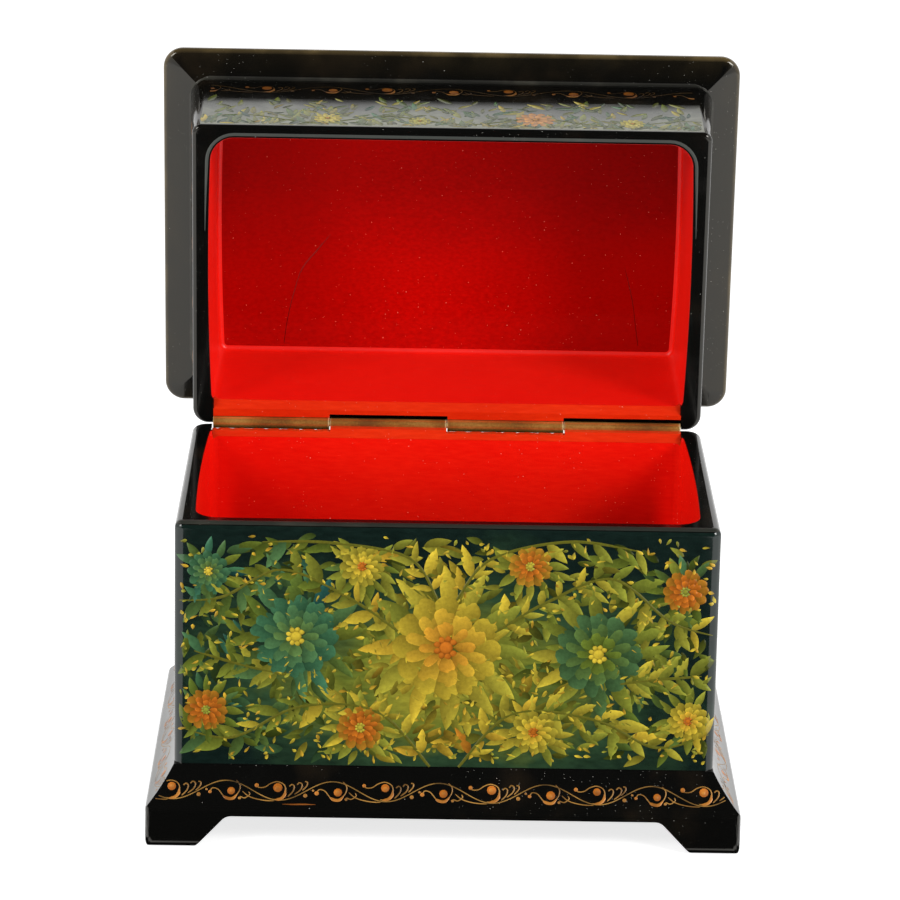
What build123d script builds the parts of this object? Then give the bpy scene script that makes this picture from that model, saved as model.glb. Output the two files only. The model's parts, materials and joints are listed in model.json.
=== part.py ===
from build123d import *
import math
import os

# Lacquered papier-mache casket with a hinged lid, drawn open as it stands on display.
# Millimetres, X to the right, Y to the back, Z up, origin on the floor under the middle of the body.

# Body: a wound wall on a mitred plinth
BODY_W = 112.0
BODY_D = 68.0
BODY_TAPER = 0.3
FRONT_CORNER_R = 2.0
BACK_CORNER_R = 3.4
RIM_Z = 69.6
RIM_R = 1.6
SIDE_T = 4.1
FRONT_T = 3.4
BACK_T = 5.0
SIDE_BOW = 0.7
CAVITY_FRONT_R = 5.0
CAVITY_BACK_R = 2.0
BACK_BEVEL = 1.5
BEVEL_END = 0.5
FLOOR_T = 3.0

# Plinth: flared rails with a fascia and bracket feet
PLINTH_Z = 16.4
PLINTH_OUT = 5.7
FASCIA_Z = 8.7
FLARE_HOLLOW = 0.35
FLARE_TOE_R = 1.8
FOOT_EDGE_R = 1.4
PLINTH_CORNER_R = 1.5
FLOOR_LEDGE = 2.0
FOOT_W = 10.2
FOOT_RUN = 6.6
ARCH_Z = 7.2
ARCH_R = 2.6
FOOT_TOE_R = 1.4

# Lid: a wound wall that flares out under a mitred cornice, closed by a crowned board
LID_H = 36.0
CORNICE_T = 4.0
CORNICE_RISE = 1.5
LID_FRONT_T = 2.7
LID_RIM_R = 0.9
LID_FLARE = 1.9
LID_BACK_IN = 1.9
LID_UPRIGHT_H = 4.0
NECK_IN = 1.0
CORNICE_OUT = 6.3
CORNICE_CORNER_R = 4.4
CORNICE_EDGE_R = 1.2
TOP_STEP = 2.2
TOP_EDGE_T = 2.6
TOP_CROWN = 1.6
TOP_BEVEL = 0.8

# Hinge: four rolled knuckles on one wire, two in each wall, ending just inside the hollow
HINGE_END = 0.4
KNUCKLES = 4
KNUCKLE_R = 1.3
KNUCKLE_GAP = 0.2
PIN_R = 0.6
PIN_SHY = 0.8
LEAF_T = 0.8
LEAF_H = 7.0
HINGE_IN = 0.4
OPEN_ANGLE = 88.0

# Clearances
RIM_GAP = 0.2
PIN_PLAY = 0.03
GLUE_GAP = 0.05
NOTCH_DROP = 0.9
NOTCH_GAP = 0.8
NOTCH_LIP = 1.0

# Places that follow from the sizes above
HINGE_Y = BODY_D / 2 - HINGE_IN
HINGE_Z = RIM_Z + RIM_GAP / 2
HINGE = Axis((0, HINGE_Y, HINGE_Z), (1, 0, 0))
LID_Z = RIM_Z + RIM_GAP
LID_TOP_Z = LID_Z + LID_H
CREASE_Z = LID_TOP_Z - CORNICE_T
HINGE_L = BODY_W - 2 * (SIDE_T + HINGE_END)
KNUCKLE_L = (HINGE_L - (KNUCKLES - 1) * KNUCKLE_GAP) / KNUCKLES

# How far a cutting shape runs past what it cuts, the mitre, and how each side is turned from the front
PAST = 5.0
MITRE = 45
TURN = {"front": 0, "right": 90, "back": 180, "left": 270}


def wall_outline(grow, back_in=0.0):
    """Plan of the wound wall, grown outward, less so at the back, with softer corners there."""
    plan = Pos(0, -back_in / 2) * Rectangle(BODY_W + 2 * grow, BODY_D + 2 * grow - back_in)
    front = plan.vertices().group_by(Axis.Y)[0]
    plan = fillet(front, max(FRONT_CORNER_R + grow, FRONT_CORNER_R / 2))
    back = plan.vertices().group_by(Axis.Y)[-1]
    return fillet(back, max(BACK_CORNER_R + grow, BACK_CORNER_R / 2))


def cavity_outline(front_t):
    """Plan of the hollow: straight front and back, sides that bow out a little."""
    half_w = BODY_W / 2 - SIDE_T
    front_y = front_t - BODY_D / 2
    back_y = BODY_D / 2 - BACK_T
    mid_y = (front_y + back_y) / 2
    right_bow = (half_w + SIDE_BOW, mid_y)
    left_bow = (-half_w - SIDE_BOW, mid_y)
    edges = [
        Line((-half_w, front_y), (half_w, front_y)),
        ThreePointArc((half_w, front_y), right_bow, (half_w, back_y)),
        Line((half_w, back_y), (-half_w, back_y)),
        ThreePointArc((-half_w, back_y), left_bow, (-half_w, front_y)),
    ]
    plan = make_face(edges)
    plan = fillet(plan.vertices().group_by(Axis.Y)[0], CAVITY_FRONT_R)
    return fillet(plan.vertices().group_by(Axis.Y)[-1], CAVITY_BACK_R)


def prism(plan, low, high):
    """Extrude a plan from one height to another."""
    return extrude(Pos(0, 0, low) * plan, high - low)


def bar(x_span, y_span, z_span):
    """A straight block between the ends given on each axis."""
    size = [span[1] - span[0] for span in (x_span, y_span, z_span)]
    middle = [sum(span) / 2 for span in (x_span, y_span, z_span)]
    return Pos(*middle) * Box(*size)


def knuckle_span(index):
    """Ends of a knuckle along the hinge, counted from the left."""
    left = -HINGE_L / 2 + index * (KNUCKLE_L + KNUCKLE_GAP)
    return left, left + KNUCKLE_L


def rod(span, radius):
    """A round bar on the hinge axis."""
    place = Plane((span[0], HINGE_Y, HINGE_Z), x_dir=(0, 1, 0), z_dir=(1, 0, 0))
    return extrude(place * Circle(radius), span[1] - span[0])


def leaf(span, side, grow):
    """The tail of a rolled strip, going down (side -1) or up (side +1) into the wall."""
    near_y = HINGE_Y - KNUCKLE_R
    tail = sorted((HINGE_Z, HINGE_Z + side * (LEAF_H + grow)))
    return bar((span[0] - grow, span[1] + grow), (near_y - grow, near_y + LEAF_T + grow), tail)


def knuckle(index, side):
    """A brass strip rolled round the wire, with its tail."""
    span = knuckle_span(index)
    strip = rod(span, KNUCKLE_R) + leaf(span, side, 0)
    return strip - rod(span, PIN_R + PIN_PLAY)


def hinge_bed(side):
    """What the hinge cuts from one wall: seats for its own knuckles, open notches for the others.

    The body's rim is let down right across below the lid's knuckles.
    """
    bed = Part()
    for index in range(KNUCKLES):
        span = knuckle_span(index)
        own = (index % 2 == 1) == (side < 0)
        if own:
            seat = (span[0] - GLUE_GAP, span[1] + GLUE_GAP)
            bed += rod(seat, KNUCKLE_R + GLUE_GAP) + leaf(span, side, GLUE_GAP)
        else:
            wide = (span[0] - KNUCKLE_GAP, span[1] + KNUCKLE_GAP)
            across = (HINGE_Y - KNUCKLE_R - NOTCH_GAP, BODY_D / 2 + PAST)
            depth = side * (KNUCKLE_R + NOTCH_DROP)
            bed += bar(wide, across, sorted((HINGE_Z - side * PAST, HINGE_Z + depth)))
            if side < 0:
                bed += bar(wide, (HINGE_Y - BACK_T - PAST, across[1]), (RIM_Z - NOTCH_LIP, RIM_Z + PAST))
    return bed


def back_bevel(rim_z, side):
    """The slope taken off the inner back edge of a rim, under the hinge."""
    back_y = BODY_D / 2 - BACK_T
    points = [
        (back_y - PAST, rim_z - side * PAST),
        (back_y + BACK_BEVEL + PAST, rim_z - side * PAST),
        (back_y - PAST, rim_z + side * (BACK_BEVEL + PAST)),
    ]
    corner = Plane.YZ * make_face(Polyline(*points, close=True))
    half = BODY_W / 2 - SIDE_T - BEVEL_END
    return extrude(corner, half, both=True)


def body_wall():
    """The casket's wall: slightly wider at the foot, rounded shoulder, bowed hollow, bed for the hinge."""
    foot = Pos(0, 0, PLINTH_Z) * wall_outline(BODY_TAPER)
    rim = Pos(0, 0, RIM_Z) * wall_outline(0)
    block = loft([foot, rim], ruled=True)
    block = fillet(block.faces().sort_by(Axis.Z)[-1].edges(), RIM_R)
    block -= prism(cavity_outline(FRONT_T), PLINTH_Z - PAST, RIM_Z + PAST)
    block -= back_bevel(RIM_Z, -1)
    return block - hinge_bed(-1)


def body_floor():
    """The bottom board, let into the wall and resting on the plinth's ledge."""
    return prism(offset(cavity_outline(FRONT_T), -GLUE_GAP), PLINTH_Z, PLINTH_Z + FLOOR_T)


def rail_section():
    """Section of a plinth rail, measured outward from the foot of the wall and up from the floor."""
    inner = -(max(SIDE_T, FRONT_T, BACK_T) + BODY_TAPER + FLOOR_LEDGE)
    middle = Vector(PLINTH_OUT / 2, (PLINTH_Z + FASCIA_Z) / 2)
    slope = Vector(PLINTH_OUT, FASCIA_Z - PLINTH_Z)
    hollow = middle + Vector(slope.Y, -slope.X).normalized() * FLARE_HOLLOW
    edges = [
        Polyline((PLINTH_OUT, FASCIA_Z), (PLINTH_OUT, 0), (inner, 0), (inner, PLINTH_Z), (0, PLINTH_Z)),
        ThreePointArc((0, PLINTH_Z), hollow, (PLINTH_OUT, FASCIA_Z)),
    ]
    section = make_face(edges)
    outer = section.vertices().group_by(Axis.X)[-1].sort_by(Axis.Y)
    section = fillet(outer[-1], FLARE_TOE_R)
    outer = section.vertices().group_by(Axis.X)[-1].sort_by(Axis.Y)
    return fillet(outer[0], FOOT_EDGE_R)


def rail_elevation(length):
    """Front view of a plinth rail: bracket feet at the ends, a low arch between them."""
    half = length / 2
    foot = half - FOOT_W
    spring = foot - FOOT_RUN
    points = [
        (-half, 0), (-foot, 0), (-spring, ARCH_Z), (spring, ARCH_Z), (foot, 0), (half, 0),
        (half, PLINTH_Z), (-half, PLINTH_Z),
    ]
    view = make_face(Polyline(*points, close=True))
    arch = view.vertices().group_by(Axis.Y)[1]
    view = fillet(arch, ARCH_R)
    toes = view.vertices().group_by(Axis.Y)[0].sort_by(Axis.X)[1:-1]
    return fillet(toes, FOOT_TOE_R)


def mitre_wedge(width, depth, side, low, high):
    """The share of a frame that belongs to one side, bounded by its mitres."""
    reach = min(width, depth) / 2
    along, across = (width, depth) if side in ("front", "back") else (depth, width)
    points = [
        (-along / 2 - PAST, -across / 2 - PAST), (along / 2 + PAST, -across / 2 - PAST),
        (along / 2 - reach, -across / 2 + reach), (-along / 2 + reach, -across / 2 + reach),
    ]
    corners = list(dict.fromkeys(points))
    wedge = prism(make_face(Polyline(*corners, close=True)), low, high)
    return Rot(0, 0, TURN[side]) * wedge


def plinth_rail(side):
    """One mitred rail of the plinth."""
    out = BODY_TAPER + PLINTH_OUT
    width = BODY_W + 2 * out
    depth = BODY_D + 2 * out
    length, across = (width, depth) if side in ("front", "back") else (depth, width)
    foot_y = PLINTH_OUT - across / 2
    end_face = Plane((length / 2, foot_y, 0), x_dir=(0, -1, 0), z_dir=(-1, 0, 0))
    rail = extrude(end_face * rail_section(), length)
    rail &= extrude(Plane.XZ * rail_elevation(length), across / 2 + PAST)
    rail = Rot(0, 0, TURN[side]) * rail
    rail &= mitre_wedge(width, depth, side, -PAST, PLINTH_Z + PAST)
    return rail & prism(RectangleRounded(width, depth, PLINTH_CORNER_R), -PAST, PLINTH_Z + PAST)


def lid_wall():
    """The lid's wall, closed: rounded rim, upright part, flare, and a neck that carries the cornice."""
    upright_z = LID_Z + LID_UPRIGHT_H
    block = prism(wall_outline(0), LID_Z, upright_z)
    block = fillet(block.faces().sort_by(Axis.Z)[0].edges(), LID_RIM_R)
    crease = wall_outline(LID_FLARE, LID_BACK_IN)
    block += loft([Pos(0, 0, upright_z) * wall_outline(0), Pos(0, 0, CREASE_Z) * crease])
    block += prism(wall_outline(-NECK_IN), CREASE_Z, LID_TOP_Z)
    block -= prism(cavity_outline(LID_FRONT_T), LID_Z - PAST, LID_TOP_Z + PAST)
    block -= back_bevel(LID_Z, 1)
    return block - hinge_bed(1)


def cornice_section():
    """Section of the cornice, measured outward from its lip and up from the floor: the underside rises."""
    far = CORNICE_OUT + LID_FLARE + NECK_IN + BACK_CORNER_R
    lip_z = CREASE_Z + CORNICE_RISE
    points = [(-far, CREASE_Z), (-CORNICE_OUT, CREASE_Z), (0, lip_z), (0, LID_TOP_Z), (-far, LID_TOP_Z)]
    section = make_face(Polyline(*points, close=True))
    return fillet(section.vertices().group_by(Axis.X)[-1], CORNICE_EDGE_R)


def cornice_strip(side):
    """One mitred strip of the cornice: a straight run with half of a rounded corner at each end."""
    out = LID_FLARE + CORNICE_OUT
    width = BODY_W + 2 * out
    depth = BODY_D + 2 * out - LID_BACK_IN
    length, across = (width, depth) if side in ("front", "back") else (depth, width)
    run = length - 2 * CORNICE_CORNER_R
    section = cornice_section()
    lip = section & Pos(-CORNICE_CORNER_R / 2, CREASE_Z) * Rectangle(CORNICE_CORNER_R, 2 * LID_H)
    end_face = Plane((run / 2, -across / 2, 0), x_dir=(0, -1, 0), z_dir=(-1, 0, 0))
    strip = extrude(end_face * section, run)
    for end in (-1, 1):
        turn = Axis((end * run / 2, CORNICE_CORNER_R - across / 2, 0), (0, 0, end))
        strip += revolve(Pos((end - 1) * run / 2, 0, 0) * (end_face * lip), turn, MITRE)
    strip = Rot(0, 0, TURN[side]) * strip
    strip &= mitre_wedge(width, depth, side, CREASE_Z - PAST, LID_TOP_Z + PAST)
    strip = Pos(0, -LID_BACK_IN / 2, 0) * strip
    return strip - prism(wall_outline(-NECK_IN), CREASE_Z - PAST, LID_TOP_Z + PAST)


def lid_top():
    """The lid's board: flat underneath, its top a shallow cap of a large ball."""
    inset = LID_FLARE + CORNICE_OUT - TOP_STEP
    width = BODY_W + 2 * inset
    depth = BODY_D + 2 * inset - LID_BACK_IN
    half_diagonal = math.hypot(width, depth) / 2
    radius = (half_diagonal**2 + TOP_CROWN**2) / (2 * TOP_CROWN)
    crest = LID_TOP_Z + TOP_EDGE_T + TOP_CROWN
    board = prism(RectangleRounded(width, depth, CORNICE_CORNER_R), LID_TOP_Z, crest)
    ball_on_its_side = Rot(90, 0, 0) * Sphere(radius)
    board &= Pos(0, 0, crest - radius) * ball_on_its_side
    crown = board.faces().sort_by(Axis.Z)[-1]
    return Pos(0, -LID_BACK_IN / 2, 0) * chamfer(crown.edges(), TOP_BEVEL)


def opened(piece):
    """Turn a closed lid piece up to where the lid stands open."""
    return piece.rotate(HINGE, -OPEN_ANGLE)


def casket():
    """Every piece of the casket under its name, with the lid open."""
    sides = ("front", "back", "left", "right")
    pieces = {"body_wall": body_wall(), "body_floor": body_floor()}
    for side in sides:
        pieces[f"plinth_{side}"] = plinth_rail(side)
    pieces["body_knuckle_left"] = knuckle(1, -1)
    pieces["body_knuckle_right"] = knuckle(3, -1)
    pieces["hinge_pin"] = rod((PIN_SHY - HINGE_L / 2, HINGE_L / 2 - PIN_SHY), PIN_R)
    pieces["lid_wall"] = opened(lid_wall())
    for side in sides:
        pieces[f"cornice_{side}"] = opened(cornice_strip(side))
    pieces["lid_top"] = opened(lid_top())
    pieces["lid_knuckle_left"] = opened(knuckle(0, 1))
    pieces["lid_knuckle_right"] = opened(knuckle(2, 1))
    return pieces


if __name__ == "__main__":
    os.makedirs("parts", exist_ok=True)
    for name, shape in casket().items():
        export_step(shape, f"parts/{name}.step")
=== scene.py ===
"""Looks of an open lacquered casket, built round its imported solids."""

import itertools
import json
import logging
import math
from dataclasses import dataclass, field
from enum import Enum
from typing import Callable, Sequence, Union

import bmesh
import bpy
import numpy as np
from mathutils import Matrix, Vector


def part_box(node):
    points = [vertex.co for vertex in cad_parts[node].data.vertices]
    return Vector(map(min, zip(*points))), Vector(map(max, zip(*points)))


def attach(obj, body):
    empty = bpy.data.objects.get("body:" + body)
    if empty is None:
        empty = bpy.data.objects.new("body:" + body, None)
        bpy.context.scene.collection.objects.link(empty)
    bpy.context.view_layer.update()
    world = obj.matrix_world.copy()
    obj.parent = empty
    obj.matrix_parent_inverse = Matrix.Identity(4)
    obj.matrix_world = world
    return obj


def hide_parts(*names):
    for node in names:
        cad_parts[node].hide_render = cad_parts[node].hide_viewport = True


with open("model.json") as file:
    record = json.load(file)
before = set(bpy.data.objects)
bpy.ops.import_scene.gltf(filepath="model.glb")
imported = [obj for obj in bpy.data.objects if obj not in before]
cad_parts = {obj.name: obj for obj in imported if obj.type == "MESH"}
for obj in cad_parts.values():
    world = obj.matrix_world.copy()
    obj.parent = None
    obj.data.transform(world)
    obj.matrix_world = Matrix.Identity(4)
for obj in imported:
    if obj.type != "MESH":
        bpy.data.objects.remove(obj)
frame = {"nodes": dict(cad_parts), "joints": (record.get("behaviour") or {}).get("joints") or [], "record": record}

LOG = logging.getLogger("casket")
MM = 0.001
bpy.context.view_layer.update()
LACQUER_IOR = 1.52
THIN_CREASE = 60.0
SKIN_LIFT, SKIN_SINK = 0.03, -0.02

Colour = tuple[float, float, float, float]
Socket = bpy.types.NodeSocket
Material = bpy.types.Material
Piece = bpy.types.Object
Feed = Union[Socket, float, tuple]
Inside = Callable[[float, float], bool]
Skin = tuple[np.ndarray, list[list[int]]]


class Body(Enum):
    """The two bodies that pieces ride on."""

    CASKET = "casket"
    LID = "lid"


class Slot(Enum):
    """The material slots of the record."""

    BLACK = "black_lacquer"
    RED = "red_lacquer"
    PAINT = "painted_lacquer"
    GOLD = "gold_ornament"
    BRASS = "hinge_brass"
    WIRE = "hinge_wire"


class Side(Enum):
    """The four sides, each as its direction along and its direction out."""

    FRONT = ((1.0, 0.0), (0.0, -1.0))
    RIGHT = ((0.0, 1.0), (1.0, 0.0))
    BACK = ((-1.0, 0.0), (0.0, 1.0))
    LEFT = ((0.0, -1.0), (-1.0, 0.0))


def tint(red: float, green: float, blue: float) -> Colour:
    """Turn screen values from 0 to 255 into a linear colour.

    Args:
        red: Screen red.
        green: Screen green.
        blue: Screen blue.

    Returns:
        The linear colour with full alpha.
    """
    shares = (value / 255 for value in (red, green, blue))
    linear = [s / 12.92 if s <= 0.04045 else ((s + 0.055) / 1.055) ** 2.4 for s in shares]
    return (linear[0], linear[1], linear[2], 1.0)


def opened_lid() -> Matrix:
    """Give the turn that takes the shut lid to where it stands open.

    Returns:
        The matrix about the hinge, in metres.
    """
    hinge = frame["joints"][0]
    pivot = Matrix.Translation(Vector(hinge["pos_m"]))
    turn = Matrix.Rotation(-math.radians(hinge["range_deg"][1]), 4, Vector(hinge["axis"]))
    return pivot @ turn @ pivot.inverted()


def shut_box(node: str) -> tuple[Vector, Vector]:
    """Measure a lid node as it lies with the lid shut.

    Args:
        node: Name of the node.

    Returns:
        Lowest and highest corner in millimetres.
    """
    back = opened_lid().inverted()
    points = np.array([(back @ v.co) / MM for v in frame["nodes"][node].data.vertices])
    return Vector(points.min(0)), Vector(points.max(0))


def stood_open(points: np.ndarray) -> np.ndarray:
    """Take points of the shut lid, in millimetres, to where it stands open."""
    turn = np.array(opened_lid())
    return points @ turn[:3, :3].T + turn[:3, 3] / MM


# Shader and tree sheets

class Sheet:
    """A node tree being laid out."""

    def __init__(self, tree: bpy.types.NodeTree) -> None:
        """Take the tree that the nodes go into."""
        self.tree = tree

    def add(self, kind: str, **settings: object) -> bpy.types.Node:
        """Add a node and set its options.

        Args:
            kind: Blender's name of the node.
            settings: The options.

        Returns:
            The node.
        """
        node = self.tree.nodes.new(kind)
        for name, value in settings.items():
            setattr(node, name, value)
        return node

    def feed(self, socket: Socket, value: Feed) -> None:
        """Link a socket into an input, or set the input to a constant.

        Args:
            socket: The input.
            value: The socket or constant.
        """
        if isinstance(value, Socket):
            self.tree.links.new(value, socket)
        else:
            socket.default_value = value

    def put(self, kind: str, feeds: dict[str | int, Feed], **settings: object) -> Sequence[Socket]:
        """Add a node and feed its inputs.

        Args:
            kind: Blender's name of the node.
            feeds: Value or socket of each input, by its name or number.
            settings: The node's options.

        Returns:
            The node's outputs.
        """
        node = self.add(kind, **settings)
        for key, value in feeds.items():
            self.feed(node.inputs[key], value)
        return node.outputs

    def math(self, operation: str, *values: Feed) -> Socket:
        """Add a math node on sockets or constants."""
        return self.put("ShaderNodeMath", dict(enumerate(values)), operation=operation)[0]

    def product(self, first: Feed, *others: Feed) -> Feed:
        """Multiply sockets or constants.

        Args:
            first: First value or socket.
            others: What it is multiplied by, from left to right.

        Returns:
            The product.
        """
        for value in others:
            first = self.math("MULTIPLY", first, value)
        return first

    def seen_share(self) -> Socket:
        """Tell the rays that the eye follows from those that only light.

        Returns:
            1 for rays of the camera, of gloss and of glass, and 0 for others.
        """
        path = self.add("ShaderNodeLightPath").outputs
        seen = self.math("MAXIMUM", path["Is Camera Ray"], path["Is Glossy Ray"])
        return self.math("MAXIMUM", seen, path["Is Transmission Ray"])


class ShaderSheet(Sheet):
    """A material being laid out, with short calls for the nodes that the finishes share."""

    def __init__(self, name: str) -> None:
        """Start a material that holds one principled shader.

        Args:
            name: Name of the material.
        """
        self.material = bpy.data.materials.new(name)
        self.material.use_nodes = True
        super().__init__(self.material.node_tree)
        self.shader = self.tree.nodes["Principled BSDF"]
        self.place = self.add("ShaderNodeTexCoord").outputs["Object"]

    def dress(self, **inputs: Feed) -> None:
        """Feed the principled shader by input name, with _ for a space."""
        for name, value in inputs.items():
            self.feed(self.shader.inputs[name.replace("_", " ")], value)

    def axes(self) -> Sequence[Socket]:
        """Give the piece's own place as three numbers."""
        return self.put("ShaderNodeSeparateXYZ", {0: self.place})

    def noise(self, scale: float, detail: float = 2.0, stretch: Sequence[float] = (1, 1, 1)) -> Socket:
        """Add a noise on the piece's own place.

        Args:
            scale: Waves per metre.
            detail: Octaves.
            stretch: Factor on each axis before the noise.

        Returns:
            The noise from 0 to 1.
        """
        spot = self.put("ShaderNodeMapping", {"Vector": self.place, "Scale": stretch})[0]
        return self.put("ShaderNodeTexNoise", {"Vector": spot, "Scale": scale, "Detail": detail})[0]

    def attribute(self, name: str) -> Socket:
        """Read a number that the mesh carries."""
        return self.add("ShaderNodeAttribute", attribute_name=name).outputs["Fac"]

    def ramp(self, factor: Feed, stops: Sequence[tuple[float, Colour]]) -> Socket:
        """Turn a number into a colour.

        Args:
            factor: Number from 0 to 1.
            stops: Places and colours in rising order.

        Returns:
            The colour's socket.
        """
        node = self.add("ShaderNodeValToRGB")
        self.feed(node.inputs[0], factor)
        band = node.color_ramp.elements
        while len(band) < len(stops):
            band.new(0.5)
        for element, (place, colour) in zip(band, stops):
            element.position = place
            element.color = colour
        return node.outputs[0]

    def window(self, factor: Feed, low: float, high: float) -> Socket:
        """Rise smoothly from 0 at low to 1 at high."""
        feeds = {0: factor, 1: low, 2: high}
        return self.put("ShaderNodeMapRange", feeds, interpolation_type="SMOOTHSTEP")[0]

    def mix(self, factor: Feed, low: Feed, high: Feed) -> Socket:
        """Mix two colours by the share of the second."""
        return self.put("ShaderNodeMix", {0: factor, 6: low, 7: high}, data_type="RGBA")[2]

    def scaled(self, colour: Feed, factor: Feed) -> Socket:
        """Make a colour lighter or darker by a factor."""
        return self.put("ShaderNodeVectorMath", {0: colour, "Scale": factor}, operation="SCALE")[0]

    def specks(self, scale: float, radius: float, share: float) -> Socket:
        """Scatter round specks of dust.

        Args:
            scale: Cells per metre.
            radius: Radius of a speck as a share of a cell.
            share: Share of the cells that hold one.

        Returns:
            1 on a speck and 0 elsewhere.
        """
        cells = self.put("ShaderNodeTexVoronoi", {"Vector": self.place, "Scale": scale})
        pick = self.put("ShaderNodeSeparateColor", {0: cells["Color"]})[0]
        near = self.math("LESS_THAN", cells["Distance"], radius)
        return self.product(near, self.math("GREATER_THAN", pick, 1 - share))

    def bump(self, height: Feed, strength: float, depth: float, under: Feed | None = None) -> Socket:
        """Raise the surface by a height.

        Args:
            height: Height from 0 to 1.
            strength: Share of the effect.
            depth: Depth in metres.
            under: A bump that this one lies on.

        Returns:
            The bent normal.
        """
        feeds = {"Strength": strength, "Distance": depth, "Height": height}
        if under is not None:
            feeds["Normal"] = under
        return self.put("ShaderNodeBump", feeds)[0]

    def swell(self, scale: float = 48.0, strength: float = 0.6, depth: float = 0.00008) -> Socket:
        """Raise the surface by the slow swell of the papier-mache, in waves per metre and in metres."""
        return self.bump(self.noise(scale, 1.0), strength, depth)


class TreeSheet(Sheet):
    """A Geometry Nodes tree being laid out."""

    def __init__(self, name: str, inputs: dict[str, tuple[str, object]]) -> None:
        """Start a tree.

        Args:
            name: Name of the tree.
            inputs: Socket kind and first value of each named input.
        """
        super().__init__(bpy.data.node_groups.new(name, "GeometryNodeTree"))
        face = self.tree.interface
        face.new_socket("Geometry", in_out="INPUT", socket_type="NodeSocketGeometry")
        for label, (kind, value) in inputs.items():
            socket = face.new_socket(label, in_out="INPUT", socket_type=kind)
            if value is not None:
                socket.default_value = value
        face.new_socket("Geometry", in_out="OUTPUT", socket_type="NodeSocketGeometry")
        self.entry = self.add("NodeGroupInput").outputs
        self.exit = self.add("NodeGroupOutput").inputs

    def number(self, name: str) -> Socket:
        """Read a number that the points carry."""
        return self.put("GeometryNodeInputNamedAttribute", {"Name": name}, data_type="FLOAT")["Attribute"]

    def vector(self, *values: Feed) -> Socket:
        """Join three sockets or constants to a vector."""
        return self.put("ShaderNodeCombineXYZ", dict(enumerate(values)))[0]

    def end(self, geometry: Socket) -> bpy.types.NodeTree:
        """Close the tree with real meshes in one material.

        Args:
            geometry: What the tree has made.

        Returns:
            The finished tree.
        """
        real = self.put("GeometryNodeRealizeInstances", {"Geometry": geometry})["Geometry"]
        feeds = {"Geometry": real, "Material": self.entry["Material"]}
        self.feed(self.exit["Geometry"], self.put("GeometryNodeSetMaterial", feeds)["Geometry"])
        return self.tree


def line_tree() -> bpy.types.NodeTree:
    """Lay out the tree that draws flat brush lines along paths.

    Returns:
        The tree, which reads half_width on the points of its paths.
    """
    sheet = TreeSheet(
        "brush_lines",
        {
            "Sides": ("NodeSocketInt", 6),
            "Flatness": ("NodeSocketFloat", 0.25),
            "Material": ("NodeSocketMaterial", None),
        },
    )
    path = sheet.put("GeometryNodeMeshToCurve", {"Mesh": sheet.entry["Geometry"]})["Curve"]
    feeds = {"Resolution": sheet.entry["Sides"], "Radius": 1.0}
    ring = sheet.put("GeometryNodeCurvePrimitiveCircle", feeds)["Curve"]
    feeds = {"Curve": path, "Profile Curve": ring, "Scale": sheet.number("half_width"), "Fill Caps": True}
    sweep = sheet.put("GeometryNodeCurveToMesh", feeds)["Mesh"]
    spot = sheet.add("GeometryNodeInputPosition").outputs["Position"]
    feeds = {0: spot, 1: sheet.vector(1.0, 1.0, sheet.entry["Flatness"])}
    press = sheet.put("ShaderNodeVectorMath", feeds, operation="MULTIPLY")[0]
    return sheet.end(sheet.put("GeometryNodeSetPosition", {"Geometry": sweep, "Position": press})["Geometry"])


def stroke_tree() -> bpy.types.NodeTree:
    """Lay out the tree that sets bent brush strokes on points.

    Returns:
        The tree, which reads angle, length, width and bend on its points.
    """
    sheet = TreeSheet(
        "brush_strokes",
        {
            "Blank": ("NodeSocketObject", None),
            "Thickness": ("NodeSocketFloat", 0.04),
            "Material": ("NodeSocketMaterial", None),
        },
    )
    blank = sheet.put("GeometryNodeObjectInfo", {"Object": sheet.entry["Blank"]})["Geometry"]
    angle, length, width, bend = (sheet.number(n) for n in ("angle", "length", "width", "bend"))
    feeds = {
        "Points": sheet.entry["Geometry"],
        "Instance": blank,
        "Rotation": sheet.put("FunctionNodeEulerToRotation", {0: sheet.vector(0.0, 0.0, angle)})[0],
        "Scale": sheet.vector(length, width, sheet.entry["Thickness"]),
    }
    scatter = sheet.put("GeometryNodeInstanceOnPoints", feeds)["Instances"]
    real = sheet.put("GeometryNodeRealizeInstances", {"Geometry": scatter})["Geometry"]
    along = sheet.number("along")
    sweep = sheet.product(sheet.product(along, along), sheet.product(bend, length))
    aside = sheet.vector(
        sheet.product(sweep, sheet.product(sheet.math("SINE", angle), -1.0)),
        sheet.product(sweep, sheet.math("COSINE", angle)),
        0.0,
    )
    return sheet.end(sheet.put("GeometryNodeSetPosition", {"Geometry": real, "Offset": aside})["Geometry"])


# Finishes

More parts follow.
